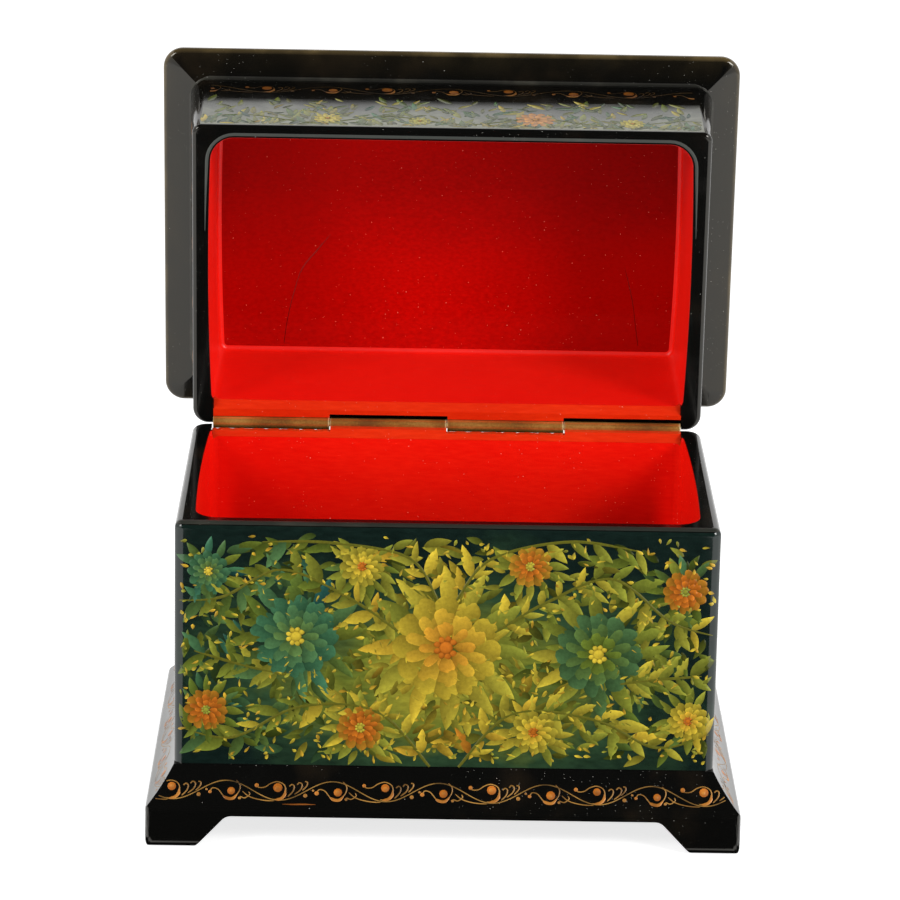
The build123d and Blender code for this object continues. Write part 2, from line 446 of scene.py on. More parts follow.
@dataclass(frozen=True)
class BlackLacquer:
    """Polished black lacquer with a slow swell of the papier-mache below, fine dust and brown rubs."""

    name: str = "black_lacquer_gloss"
    deep: Colour = tint(10, 10, 9)
    warm: Colour = tint(26, 21, 15)
    dust: Colour = tint(190, 188, 180)
    rubbed: Colour = tint(104, 88, 56)
    glint: Colour = (1.0, 0.965, 0.88, 1.0)
    gloss: float = 0.09
    swell: float = 0.00010

    def material(self) -> Material:
        """Lay out the material.

        Returns:
            The material.
        """
        sheet = ShaderSheet(self.name)
        rub = sheet.window(sheet.noise(55, 5), 0.52, 0.72)
        grains = sheet.specks(620, 0.042, 0.28)
        drift = sheet.window(sheet.noise(34, 2), 0.50, 0.64)
        dust = sheet.math("MAXIMUM", grains, sheet.product(sheet.specks(1700, 0.085, 0.45), drift))
        wear = sheet.math("MULTIPLY_ADD", sheet.window(sheet.noise(150, 4), 0.4, 0.68), 0.5, 0.42)
        thin = sheet.product(sheet.attribute("rub"), wear)
        base = sheet.mix(thin, sheet.mix(rub, self.deep, self.warm), self.rubbed)
        haze = sheet.product(sheet.window(sheet.noise(120, 6), 0.45, 0.8), 0.10)
        rough = sheet.math("ADD", haze, self.gloss)
        slow = sheet.swell(strength=0.7, depth=self.swell)
        fine = sheet.bump(sheet.noise(700, 3.0), 0.25, 0.000012, slow)
        sheet.dress(
            Base_Color=sheet.mix(dust, base, self.dust),
            Roughness=sheet.math("MULTIPLY_ADD", dust, 0.5, rough),
            Normal=fine,
            IOR=LACQUER_IOR,
            Specular_Tint=self.glint,
        )
        return sheet.material


@dataclass(frozen=True)
class RedLacquer:
    """Brushed red lacquer that varies at random between deep and bright red, with optional painted shade low on
    the back wall and on the ceiling.
    """

    name: str = "red_lacquer_gloss"
    bright: Colour = tint(246, 30, 10)
    deep: Colour = tint(232, 16, 5)
    streak: Sequence[float] = (1.0, 5.0, 5.0)
    gloss: float = 0.05
    painted_shade: float = 0.0
    painted_shade_high: float = 0.068
    painted_shade_low: float = 0.046
    painted_shade_front: float = 0.0268
    painted_shade_back: float = 0.0287
    painted_shade_half: float = 0.0495
    painted_shade_right: float = 0.0
    left_shade: float = 0.0
    right_shade: float = 0.0
    top_shade: float = 0.0
    left_run: tuple[float, float] = (-0.006, -0.04)
    right_run: tuple[float, float] = (-0.004, 0.042)
    top_run: tuple[float, float] = (0.1265, 0.1365)
    dust: Colour = tint(255, 170, 150)

    def material(self) -> Material:
        """Lay out the material.

        Returns:
            The material.
        """
        sheet = ShaderSheet(self.name)
        brush = sheet.noise(320, 6, self.streak)
        share = sheet.math("ADD", sheet.product(brush, 0.4), sheet.product(sheet.noise(17, 2), 0.6))
        base = sheet.mix(sheet.window(share, 0.3, 0.7), self.deep, self.bright)
        if self.painted_shade:
            base = sheet.scaled(base, self.painted_shade_light(sheet))
        if self.left_shade or self.right_shade:
            base = sheet.scaled(base, self.shade_light(sheet))
        dust = sheet.math("MAXIMUM", sheet.specks(640, 0.055, 0.36), sheet.specks(1500, 0.075, 0.2))
        sheet.dress(
            Base_Color=sheet.mix(dust, base, self.dust),
            Roughness=sheet.math("MULTIPLY_ADD", brush, 0.10, self.gloss),
            Normal=sheet.bump(brush, 0.3, 0.000015, sheet.swell(60)),
            IOR=LACQUER_IOR,
        )
        return sheet.material

    def painted_shade_light(self, sheet: ShaderSheet) -> Socket:
        """Paint shade low on the back wall of the coat, most of all to the right.

        Args:
            sheet: The material being laid out.

        Returns:
            How light the coat stays.
        """
        x, y, z = sheet.axes()
        behind = sheet.window(y, self.painted_shade_front, self.painted_shade_back)
        down = sheet.window(z, self.painted_shade_high, self.painted_shade_low)
        within = sheet.window(sheet.math("ABSOLUTE", x), self.painted_shade_half, 0.9 * self.painted_shade_half)
        deep = sheet.window(x, 0.36 * self.painted_shade_half, 0.74 * self.painted_shade_half)
        deep = sheet.math("MULTIPLY_ADD", deep, -self.painted_shade_right, -self.painted_shade)
        return sheet.math("ADD", sheet.product(sheet.product(behind, down), sheet.product(within, deep)), 1.0)

    def shade_light(self, sheet: ShaderSheet) -> Socket:
        """Paint shade on the ceiling to the left, to the right and towards its front.

        Args:
            sheet: The material being laid out.

        Returns:
            How light the ceiling stays.
        """
        x, _, z = sheet.axes()
        left = sheet.product(sheet.window(x, *self.left_run), -self.left_shade)
        right = sheet.product(sheet.window(x, *self.right_run), -self.right_shade)
        upper = sheet.product(sheet.window(z, *self.top_run), -self.top_shade)
        sides = sheet.math("ADD", sheet.math("ADD", left, right), 1.0)
        return sheet.product(sides, sheet.math("ADD", upper, 1.0))


@dataclass(frozen=True)
class PictureGround:
    """Dark painted ground that glows olive and yellow towards its middle, under the lacquer."""

    name: str = "picture_ground"
    centre: tuple[float, float, float] = (0.0, -0.034, 0.036)
    spread: tuple[float, float, float] = (17.0, 1.0, 34.0)
    stops: tuple = (
        (0.05, tint(146, 140, 44)),
        (0.34, tint(94, 104, 36)),
        (0.62, tint(42, 66, 42)),
        (1.0, tint(16, 30, 26)),
    )

    def material(self) -> Material:
        """Lay out the material.

        Returns:
            The material.
        """
        sheet = ShaderSheet(self.name)
        middle = [-c * s for c, s in zip(self.centre, self.spread)]
        feeds = {"Vector": sheet.place, "Location": middle, "Scale": self.spread}
        spot = sheet.put("ShaderNodeMapping", feeds)[0]
        length = sheet.put("ShaderNodeVectorMath", {0: spot}, operation="LENGTH")["Value"]
        wander = sheet.math("MULTIPLY_ADD", sheet.noise(70, 5), 0.9, -0.45)
        ground = sheet.ramp(sheet.math("ADD", length, wander), self.stops)
        streak = sheet.noise(420, 4, (1, 1, 2.5))
        base = sheet.scaled(ground, sheet.math("MULTIPLY_ADD", streak, 1.1, 0.4))
        sheet.dress(
            Base_Color=base,
            Roughness=0.14,
            Normal=sheet.swell(),
            IOR=LACQUER_IOR,
        )
        return sheet.material


@dataclass(frozen=True)
class BrushPaint:
    """Tempera strokes under lacquer: a hue from teal to amber, lighter at the tip and on one half."""

    name: str = "brush_paint"
    gloss: float = 0.16
    ior: float = 1.5

    def material(self) -> Material:
        """Lay out the material.

        Returns:
            The material.
        """
        sheet = ShaderSheet(self.name)
        hue = sheet.ramp(
            sheet.attribute("hue"),
            (
                (0.0, tint(20, 66, 68)),
                (0.2, tint(66, 116, 80)),
                (0.4, tint(88, 104, 34)),
                (0.6, tint(136, 138, 46)),
                (0.8, tint(198, 172, 50)),
                (1.0, tint(178, 98, 24)),
            ),
        )
        rise = sheet.math("MULTIPLY_ADD", sheet.attribute("along"), 0.7, 0.55)
        half = sheet.math("MULTIPLY_ADD", sheet.attribute("across"), 0.28, 0.9)
        grain = sheet.math("MULTIPLY_ADD", sheet.noise(1500, 3), 0.7, 0.65)
        light = sheet.product(rise, half, sheet.attribute("tone"), grain)
        sheet.dress(
            Base_Color=sheet.scaled(hue, light),
            Roughness=self.gloss,
            Normal=sheet.swell(),
            IOR=self.ior,
        )
        return sheet.material


@dataclass(frozen=True)
class GoldPaint:
    """Old gold size on black: dull gold that thins to brown in places."""

    name: str = "gold_paint"
    light: Colour = tint(184, 138, 62)
    dull: Colour = tint(140, 102, 42)
    worn: Colour = tint(64, 48, 26)
    amber: Colour = tint(196, 108, 12)

    def material(self) -> Material:
        """Lay out the material.

        Returns:
            The material.
        """
        sheet = ShaderSheet(self.name)
        patch = sheet.noise(190, 4)
        base = sheet.ramp(patch, ((0.30, self.worn), (0.46, self.dull), (0.68, self.light)))
        ripe = sheet.scaled(self.amber[:3], sheet.math("MULTIPLY_ADD", patch, 1.2, 0.35))
        amber = sheet.mix(sheet.attribute("hue"), base, ripe)
        half = sheet.math("MULTIPLY_ADD", sheet.attribute("across"), 0.3, 0.95)
        sheet.dress(
            Base_Color=sheet.scaled(amber, sheet.product(half, sheet.attribute("tone"))),
            Roughness=sheet.math("MULTIPLY_ADD", patch, 0.3, 0.22),
            Metallic=0.15,
            Normal=sheet.bump(sheet.noise(2600, 2), 0.3, 0.00002),
        )
        return sheet.material


@dataclass(frozen=True)
class AgedBrass:
    """Rolled brass under brown patina, with a painted highlight near the ends of each knuckle."""

    name: str = "aged_brass"
    bright: Colour = tint(224, 168, 86)
    brown: Colour = tint(190, 130, 58)
    dark: Colour = tint(148, 98, 48)
    end_glint: Colour = tint(248, 222, 160)
    joint_gap: float = 0.0001
    glint_run: tuple[float, float] = (0.00042, 0.0002)

    def material(self) -> Material:
        """Lay out the material.

        Returns:
            The material.
        """
        sheet = ShaderSheet(self.name)
        patch = sheet.noise(95, 1.5)
        spots = sheet.noise(2400, 2)
        tone = sheet.math("ADD", sheet.product(patch, 0.8), sheet.product(spots, 0.2))
        base = sheet.ramp(tone, ((0.36, self.dark), (0.5, self.brown), (0.64, self.bright)))
        low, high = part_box("lid_knuckle_left")
        joint = sheet.math("SUBTRACT", sheet.axes()[0], high.x)
        away = sheet.math("PINGPONG", joint, (high.x - low.x) / 2 + self.joint_gap)
        # rub marks the ends of each knuckle, where a paler brass paints their glints.
        rub = sheet.window(away, *self.glint_run)
        sheet.dress(
            Base_Color=sheet.mix(rub, base, self.end_glint),
            Metallic=0.7,
            Roughness=sheet.math("MULTIPLY_ADD", spots, 0.2, 0.24),
            Normal=sheet.bump(spots, 0.2, 0.00003),
        )
        return sheet.material


# Meshes and brushwork

def add_piece(name: str, mesh: bpy.types.Mesh) -> Piece:
    """Put a mesh in the scene as an object at the origin."""
    piece = bpy.data.objects.new(name, mesh)
    bpy.context.scene.collection.objects.link(piece)
    return piece


def plain_mesh(piece: Piece) -> None:
    """Bake an object's modifiers into its mesh and take them off.

    Args:
        piece: The object.
    """
    graph = bpy.context.evaluated_depsgraph_get()
    baked = bpy.data.meshes.new_from_object(piece.evaluated_get(graph), depsgraph=graph)
    piece.modifiers.clear()
    piece.data = baked


def carry(mesh: bpy.types.Mesh, label: str, values: Sequence[float]) -> None:
    """Let a mesh carry a number on each of its points."""
    data = np.ascontiguousarray(values, np.float32)
    mesh.attributes.new(label, "FLOAT", "POINT").data.foreach_set("value", data)


def outwards(mesh: bpy.types.Mesh) -> None:
    """Turn the faces of a closed mesh outwards and shade it smoothly.

    Args:
        mesh: The mesh.
    """
    shell = bmesh.new()
    shell.from_mesh(mesh)
    bmesh.ops.recalc_face_normals(shell, faces=shell.faces)
    shell.to_mesh(mesh)
    shell.free()
    mesh.shade_smooth()


def solid_piece(
    name: str, points: np.ndarray, faces: Sequence[Sequence[int]], material: Material, crease: float = 38.0
) -> Piece:
    """Make a closed mesh with its faces outwards.

    Args:
        name: Name of the piece.
        points: Corners in millimetres.
        faces: Corner numbers of each face.
        material: The finish.
        crease: Angle in degrees above which an edge stays sharp.

    Returns:
        The piece.
    """
    mesh = bpy.data.meshes.new(name)
    mesh.from_pydata([tuple(p * MM) for p in points], [], [tuple(f) for f in faces])
    outwards(mesh)
    mesh.set_sharp_from_angle(angle=math.radians(crease))
    mesh.materials.append(material)
    return add_piece(name, mesh)


def smooth_copy(node: str, material: Material, crease: float = 34.0) -> Piece:
    """Copy a solid's mesh with its seams merged and its shading evened out.

    Args:
        node: The solid's node.
        material: The finish.
        crease: Angle in degrees above which an edge stays sharp.

    Returns:
        The copy.
    """
    name = f"{node}_dressed"
    shell = bmesh.new()
    shell.from_mesh(frame["nodes"][node].data)
    bmesh.ops.remove_doubles(shell, verts=shell.verts, dist=2e-6)
    shell.verts.index_update()
    points = [tuple(v.co) for v in shell.verts]
    faces = [[v.index for v in f.verts] for f in shell.faces]
    shell.free()
    mesh = bpy.data.meshes.new(name)
    mesh.from_pydata(points, [], faces)
    mesh.shade_smooth()
    mesh.set_sharp_from_angle(angle=math.radians(crease))
    mesh.materials.append(material)
    piece = add_piece(name, mesh)
    even = piece.modifiers.new("even_shading", "WEIGHTED_NORMAL")
    even.keep_sharp = True
    plain_mesh(piece)
    return piece


def closed_stack(rings: Sequence[np.ndarray], loop: bool = False) -> Skin:
    """Skin rings of equal count into a closed mesh.

    Args:
        rings: Rings of points in millimetres.
        loop: Whether the last ring meets the first, instead of both being filled.

    Returns:
        Points and faces.
    """
    count, total = len(rings[0]), len(rings)
    faces = []
    for row in range(total if loop else total - 1):
        here, there = row * count, (row + 1) % total * count
        for k in range(count):
            nxt = (k + 1) % count
            faces.append([here + k, here + nxt, there + nxt, there + k])
    if not loop:
        faces.append(list(range(count))[::-1])
        faces.append([(total - 1) * count + k for k in range(count)])
    return np.concatenate(rings), faces


def smooth_path(points: Sequence[Sequence[float]], steps: int = 8) -> np.ndarray:
    """Run a rounded path through points.

    Args:
        points: Points in the flat.
        steps: Parts between two points.

    Returns:
        The path's points.
    """
    ends = np.array([points[0], *points, points[-1]], float)
    path = []
    for before, start, end, after in zip(ends, ends[1:], ends[2:], ends[3:]):
        for t in np.arange(steps) / steps:
            path.append(
                0.5
                * (
                    2 * start
                    + (end - before) * t
                    + (2 * before - 5 * start + 4 * end - after) * t**2
                    + (3 * start - before - 3 * end + after) * t**3
                )
            )
    path.append(ends[-2])
    return np.array(path)


def ray(spot: Sequence[float], angle: float, reach: float) -> tuple[float, float]:
    """Give the point in the flat that lies at an angle and a reach from a spot."""
    return spot[0] + reach * math.cos(angle), spot[1] + reach * math.sin(angle)


@dataclass(frozen=True)
class Wrap:
    """A face of the casket that flat brushwork is laid on: u along, v up its section and w off it."""

    side: Side
    reach: float
    section: np.ndarray
    flat_half: float = 1000.0
    corner_r: float = 2.0
    pose: Matrix = field(default_factory=lambda: Matrix.Identity(4))

    def place(self, flat: np.ndarray) -> np.ndarray:
        """Lay flat points on the face.

        Args:
            flat: Points (u, v, w) in millimetres.

        Returns:
            Points in the row frame, in metres.
        """
        steps = np.diff(self.section, axis=0)
        reach = np.concatenate([[0.0], np.cumsum(np.linalg.norm(steps, axis=1))])
        slope = np.gradient(self.section, reach, axis=0)
        u, v, w = flat.T
        out, high, run_out, run_up = (
            np.interp(v, reach, column) for column in (*self.section.T, *slope.T)
        )
        high = high + np.where(v > reach[-1], v - reach[-1], 0) + np.minimum(v, 0)
        high, off = high - run_out * w, run_up * w
        past = np.maximum(np.abs(u) - self.flat_half, 0) / self.corner_r
        radius = self.corner_r + np.minimum(out, 0) + off
        along = np.sign(u) * (np.minimum(np.abs(u), self.flat_half) + radius * np.sin(past))
        out = self.reach + np.maximum(out, 0) - self.corner_r + radius * np.cos(past)
        (ax, ay), (ox, oy) = self.side.value
        placed = np.stack([ax * along + ox * out, ay * along + oy * out, high], axis=1) * MM
        turn = np.array(self.pose)
        return placed @ turn[:3, :3].T + turn[:3, 3]


def thin_skin(
    name: str, face: Wrap, across: np.ndarray, rows: Sequence[float], lift: float, finish: Material
) -> Piece:
    """Make a thin closed skin on a face.

    Args:
        name: Name of the piece.
        face: The face.
        across: Places of its points along the face.
        rows: Places of its rows of points up the face.
        lift: Height of its seen side off the face.
        finish: Its finish.

    Returns:
        The skin.
    """
    rings = []
    for v in rows:
        seen = [(u, v, lift) for u in across]
        rings.append(np.array(seen + [(u, v, SKIN_SINK) for u in across[::-1]]))
    points, faces = closed_stack(rings)
    return solid_piece(name, face.place(points) / MM, faces, finish, THIN_CREASE)


@dataclass
class Lines:
    """Brush lines gathered in the flat before they are drawn."""

    points: list = field(default_factory=list)
    edges: list = field(default_factory=list)
    widths: list = field(default_factory=list)
    hues: list = field(default_factory=list)
    tones: list = field(default_factory=list)

    def add(
        self,
        path: np.ndarray,
        width: float,
        ends: tuple[float, float] = (0.5, 0.4),
        hue: float = 0.0,
        tone: float = 1.0,
        inside: Inside | None = None,
    ) -> None:
        """Add one line.

        Args:
            path: Points in the flat.
            width: Full width at its widest.
            ends: Share of the width at the start and at the end.
            hue: Hue number for the finish.
            tone: Lightness for the finish.
            inside: Says whether a point is on the face; the line breaks where it isn't.
        """
        share = np.linspace(0, 1, len(path))
        swell = np.minimum(1.0, np.minimum(ends[0] + 4 * share, ends[1] + 3 * (1 - share)))
        last = None
        for (u, v), size in zip(path, swell):
            if inside is not None and not inside(u, v):
                last = None
                continue
            self.points.append((u, v, 0.0))
            self.widths.append(0.5 * width * size)
            self.hues.append(hue)
            self.tones.append(tone)
            if last is not None:
                self.edges.append((last, len(self.points) - 1))
            last = len(self.points) - 1

    def seed(self, name: str) -> Piece:
        """Make the paths that the tree draws along.

        Args:
            name: Name of the object.

        Returns:
            An object of points and edges.
        """
        mesh = bpy.data.meshes.new(name)
        mesh.from_pydata(self.points, self.edges, [])
        for label, values in (("half_width", self.widths), ("hue", self.hues), ("tone", self.tones)):
            carry(mesh, label, values)
        return add_piece(name, mesh)


@dataclass
class Strokes:
    """Brush strokes gathered in the flat: where each starts, how it lies, its hue and its tone."""

    labels: tuple = ("angle", "length", "width", "bend", "hue", "tone")
    points: list = field(default_factory=list)
    values: list = field(default_factory=list)

    def add(
        self,
        spot: Sequence[float],
        angle: float,
        length: float,
        width: float,
        bend: float = 0.0,
        hue: float = 0.0,
        tone: float = 1.0,
        lift: float = 0.0,
    ) -> None:
        """Add one stroke.

        Args:
            spot: Its root in the flat.
            angle: Its direction in radians.
            length: Its length.
            width: Its width.
            bend: How far its tip swings aside, as a share of its length.
            hue: Hue number for the finish.
            tone: Lightness for the finish.
            lift: Height of its underside.
        """
        self.points.append((spot[0], spot[1], lift))
        self.values.append((angle, length, width, bend, hue, tone))

    def seed(self, name: str) -> Piece:
        """Make the points that the tree sets strokes on.

        Args:
            name: Name of the object.

        Returns:
            An object of points.
        """
        mesh = bpy.data.meshes.new(name)
        mesh.from_pydata(self.points, [], [])
        for label, column in zip(self.labels, np.array(self.values, np.float32).T):
            carry(mesh, label, column)
        return add_piece(name, mesh)


class Blank(Enum):
    """Shapes of a single stroke: how its half width runs from root to tip."""

    LEAF = (0.80, 0.85)
    PETAL = (1.45, 0.70)
    DOT = None

    def outline(self) -> tuple[np.ndarray, list[list[int]], np.ndarray, np.ndarray]:
        """Give the stroke's mesh, one unit long and wide.

        Returns:
            Points, faces, the share along it and the place across it.
        """
        if self is Blank.DOT:
            sides = 10
            turn = np.arange(sides) * math.tau / sides
            rim = np.stack([np.cos(turn) / 2, np.sin(turn) / 2, 0 * turn], axis=1)
            shoulder = rim * (0.72, 0.72, 1) + (0, 0, 0.7)
            points = np.concatenate([rim, shoulder, [[0, 0, 1]]])
            pairs = [(k, (k + 1) % sides) for k in range(sides)]
            faces = [[k, nxt, sides + nxt, sides + k] for k, nxt in pairs]
            faces += [[sides + k, sides + nxt, 2 * sides] for k, nxt in pairs]
            faces.append(list(range(sides))[::-1])
            across = np.concatenate([np.cos(turn - 2.2), 0.7 * np.cos(turn - 2.2), [0]])
            return points, faces, np.concatenate([0 * turn, 0 * turn + 0.7, [1.0]]), across
        power, swell = self.value
        shares = np.array([0.07, 0.18, 0.32, 0.46, 0.6, 0.73, 0.84, 0.93])
        lanes = np.array([-1.0, -0.15, 0.15, 1.0])
        half = 0.5 * np.sin(math.pi * shares**power) ** swell
        points = [(0, 0, 0)]
        along, across = [0.0], [0.0]
        for share, wide in zip(shares, half):
            for lane in lanes:
                points.append((share, wide * lane, 0.0 if abs(lane) == 1 else 1.0))
                along.append(share)
                across.append(lane)
        points.append((1, 0, 0))
        along.append(1.0)
        across.append(0.0)
        tip = len(points) - 1
        faces = []
        for lane in range(3):
            faces.append([0, 1 + lane, 2 + lane])
            faces.append([tip, tip - 3 + lane, tip - 4 + lane])
        faces += [[0, 4, 1], [tip, tip - 4, tip - 1]]
        for row in range(len(shares) - 1):
            base = 1 + 4 * row
            for lane in range(3):
                faces.append([base + lane, base + 4 + lane, base + 5 + lane, base + 1 + lane])
            faces.append([base + 3, base + 7, base + 4, base])
        return np.array(points, float), faces, np.array(along), np.array(across)

    def shape(self) -> Piece:
        """Make the blank that the tree repeats.

        Returns:
            The blank's object.
        """
        points, faces, along, across = self.outline()
        mesh = bpy.data.meshes.new(f"blank_{self.name.lower()}")
        mesh.from_pydata([tuple(p) for p in points], [], faces)
        outwards(mesh)
        for label, values in (("along", along), ("across", across)):
            carry(mesh, label, values)
        return add_piece(mesh.name, mesh)


class Brush:
    """Draws gathered lines and strokes through the two trees and lays them on a face."""

    sides: int = 6
    flatness: float = 0.22
    thickness: float = 0.04
    crease: float = 50.0

    def __init__(self) -> None:
        """Build the trees once."""
        self.lines = line_tree()
        self.strokes = stroke_tree()

    def run(self, seed: Piece, tree: bpy.types.NodeTree, values: dict[str, object]) -> np.ndarray:
        """Run a tree on a seed and keep its mesh as the seed's own.

        Args:
            seed: Points or paths in the flat.
            tree: The tree.
            values: Value of each named input.

        Returns:
            The mesh's points in the flat.
        """
        grown = seed.modifiers.new(tree.name, "NODES")
        grown.node_group = tree
        for item in tree.interface.items_tree:
            if item.item_type == "SOCKET" and item.in_out == "INPUT" and item.name in values:
                grown[item.identifier] = values[item.name]
        plain_mesh(seed)
        flat = np.empty(len(seed.data.vertices) * 3)
        seed.data.vertices.foreach_get("co", flat)
        return flat.reshape(-1, 3)

    def lay(self, piece: Piece, flat: np.ndarray, wrap: Wrap, lift: float) -> Piece:
        """Move a flat mesh onto a face.

        Args:
            piece: The piece, whose mesh is flat.
            flat: Its points in millimetres.
            wrap: The face.
            lift: Height off the face in millimetres.

        Returns:
            The piece.
        """
        placed = wrap.place(flat + (0, 0, lift))
        piece.data.vertices.foreach_set("co", placed.ravel())
        piece.data.shade_smooth()
        piece.data.set_sharp_from_angle(angle=math.radians(self.crease))
        piece.data.update()
        return piece

    def draw_lines(
        self, name: str, lines: Lines, wrap: Wrap, material: Material, lift: float = 0.01
    ) -> Piece:
        """Draw lines on a face.

        Args:
            name: Name of the piece.
            lines: The lines.
            wrap: The face.
            material: The finish.
            lift: Height of the lines' middle off the face.

        Returns:
            The piece.
        """
        piece = lines.seed(name)
        values = {"Sides": self.sides, "Flatness": self.flatness, "Material": material}
        return self.lay(piece, self.run(piece, self.lines, values), wrap, lift)

    def draw_strokes(
        self, name: str, strokes: Strokes, blank: Blank, wrap: Wrap, material: Material, lift: float = 0.01
    ) -> Piece:
        """Draw strokes on a face.

        Args:
            name: Name of the piece.
            strokes: The strokes.
            blank: Their shape.
            wrap: The face.
            material: The finish.
            lift: Height of their underside off the face.

        Returns:
            The piece.
        """
        piece = strokes.seed(name)
        shape = blank.shape()
        values = {"Blank": shape, "Thickness": self.thickness, "Material": material}
        flat = self.run(piece, self.strokes, values)
        bpy.data.objects.remove(shape)
        return self.lay(piece, flat, wrap, lift)


def join(pieces: Sequence[Piece], name: str) -> Piece:
    """Join pieces of one finish to one mesh.

    Args:
        pieces: The pieces.
        name: Name of the joined piece.

    Returns:
        The joined piece.
    """
    with bpy.context.temp_override(active_object=pieces[0], selected_editable_objects=list(pieces)):
        bpy.ops.object.join()
    pieces[0].name = name
    pieces[0].data.name = name
    return pieces[0]


def settle(piece: Piece, body: Body) -> None:
    """Let a finished piece ride on its body.

    Args:
        piece: The piece.
        body: The body it rides on.
    """
    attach(piece, body.value)
    LOG.info("%s: %d faces on %s", piece.name, len(piece.data.polygons), body.value)


# Sub-assemblies

class Finishes:
    """Every finish, made once."""

    def __init__(self) -> None:
        """Lay the materials out."""
        # dusty is grey for dust in the crease under the cornice and for a painted highlight along it.
        dust_and_sheen = tint(30, 30, 27), tint(66, 64, 56), tint(214, 212, 204)
        # edge is a pale grey that paints the highlight on the inner round of the lid's opening.
        edge = tint(62, 66, 63), tint(90, 92, 86), tint(200, 200, 192)
        # rim is a pale grey that paints the highlight on the body rim's rounded shoulder.
        rim = tint(40, 42, 37), tint(58, 57, 50), tint(190, 188, 180)
        # dark holds the ceiling's reds: a darker copy of the walls' red that paints shade.
        dark = tint(212, 10, 3), tint(172, 5, 2), (3.0, 3.0, 5.0)
        self.black = BlackLacquer().material()
        self.dust_and_sheen = BlackLacquer("black_lacquer_dusty", *dust_and_sheen, gloss=0.3).material()
        self.edge = BlackLacquer("black_lacquer_edge", *edge, gloss=0.34).material()
        self.rim = BlackLacquer("black_lacquer_rim", *rim, gloss=0.34).material()
        self.crack = RedLacquer("red_lacquer_crack", tint(92, 6, 3), tint(66, 4, 2)).material()
        self.red = RedLacquer(gloss=0.32).material()
        shades = {"left_shade": 0.28, "right_shade": 0.46, "top_shade": 0.4}
        self.ceiling = RedLacquer("red_lacquer_dark", *dark, **shades).material()
        # The body's coat carries painted shade: darker low on its back wall, most of all to the right.
        self.well = RedLacquer("red_lacquer_well", gloss=0.2, painted_shade=0.32, painted_shade_right=0.17).material()
        # An orange-tinted red for the bevel coats before the hinge: a painted reflection of the brass knuckles.
        self.brass_tinted_red = RedLacquer("red_lacquer_worn", tint(228, 52, 14), tint(206, 38, 9)).material()
        self.ground = PictureGround().material()
        self.paint = BrushPaint().material()
        self.gold = GoldPaint().material()
        self.brass = AgedBrass().material()


@dataclass
class Shell:
    """The lacquered solids and the brass hinge, each as an evenly shaded copy of its node."""

    finishes: Finishes
    lip_corner: float = 4.4
    lip_rub: float = 1.0

    def build(self) -> None:
        """Dress every solid."""
        record = frame["record"]
        body_of = {node: name for name, nodes in record["behaviour"]["bodies"].items() for node in nodes}
        for row in record["subparts"]:
            node, slot = row["node"], Slot(row["material_slot"])
            finish = self.finishes.black if slot is Slot.BLACK else self.finishes.brass
            piece = smooth_copy(node, finish)
            if node.startswith("cornice"):
                self.rub_lip(piece)
            settle(piece, Body(body_of[node]))
            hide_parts(node)

    def rub_lip(self, piece: Piece) -> None:
        """Mark how far the lacquer is rubbed on a cornice strip: fully at its outermost edge.

        Args:
            piece: The dressed strip.
        """
        lows, highs = zip(*(shut_box(f"cornice_{side.name.lower()}") for side in Side))
        low, high = np.array(lows).min(0)[:2], np.array(highs).max(0)[:2]
        back = opened_lid().inverted()
        places = np.array([(back @ v.co) / MM for v in piece.data.vertices])[:, :2]
        past = np.abs(places - (low + high) / 2) - (high - low) / 2 + self.lip_corner
        depth = self.lip_corner - np.linalg.norm(past.clip(0), axis=1) - past.max(1).clip(max=0)
        share = (1 - depth / self.lip_rub).clip(0, 1)
        carry(piece.data, "rub", share)


@dataclass
class CreaseBead:
    """Lacquer and dust gathered in the corner under the cornice, its grey also a painted highlight along the
    crease.
    """

    finishes: Finishes
    front_r: float = 3.9
    back_r: float = 5.3
    leg: float = 0.6
    cornice_t: float = 4.0
    rise: float = 0.24
    lean: float = 0.07
    root: float = 0.12

    def ring(self, spot: np.ndarray, out: np.ndarray, crease: float) -> np.ndarray:
        """Give the bead's section at one place of the crease.

        Args:
            spot: The place in the plan.
            out: Direction outwards there.
            crease: Height of the crease.

        Returns:
            Points of the section.
        """
        tip, foot = np.array([self.leg, self.leg * self.rise]), np.array([-self.leg * self.lean, -self.leg])
        share = np.linspace(0, 1, 7)[:, None]
        arc = (1 - share) ** 2 * tip + share**2 * foot
        section = np.vstack([arc, [[-self.root, self.root]]])
        return np.column_stack([spot + section[:, :1] * out, crease + section[:, 1]])

    def build(self) -> None:
        """Sweep the bead round the lid."""
        low, high = shut_box("lid_wall")
        corners = ((1, 1, self.back_r), (-1, 1, self.back_r), (-1, -1, self.front_r), (1, -1, self.front_r))
        rings = []
        for number, (sx, sy, radius) in enumerate(corners):
            centre = np.array([sx * (high.x - radius), high.y - radius if sy > 0 else low.y + radius])
            for angle in np.radians(90 * number + np.linspace(0, 90, 9)):
                out = np.array([math.cos(angle), math.sin(angle)])
                rings.append(self.ring(centre + radius * out, out, high.z - self.cornice_t))
        points, faces = closed_stack(rings, loop=True)
        piece = solid_piece("crease_bead", stood_open(points), faces, self.finishes.dust_and_sheen, THIN_CREASE)
        settle(piece, Body.LID)


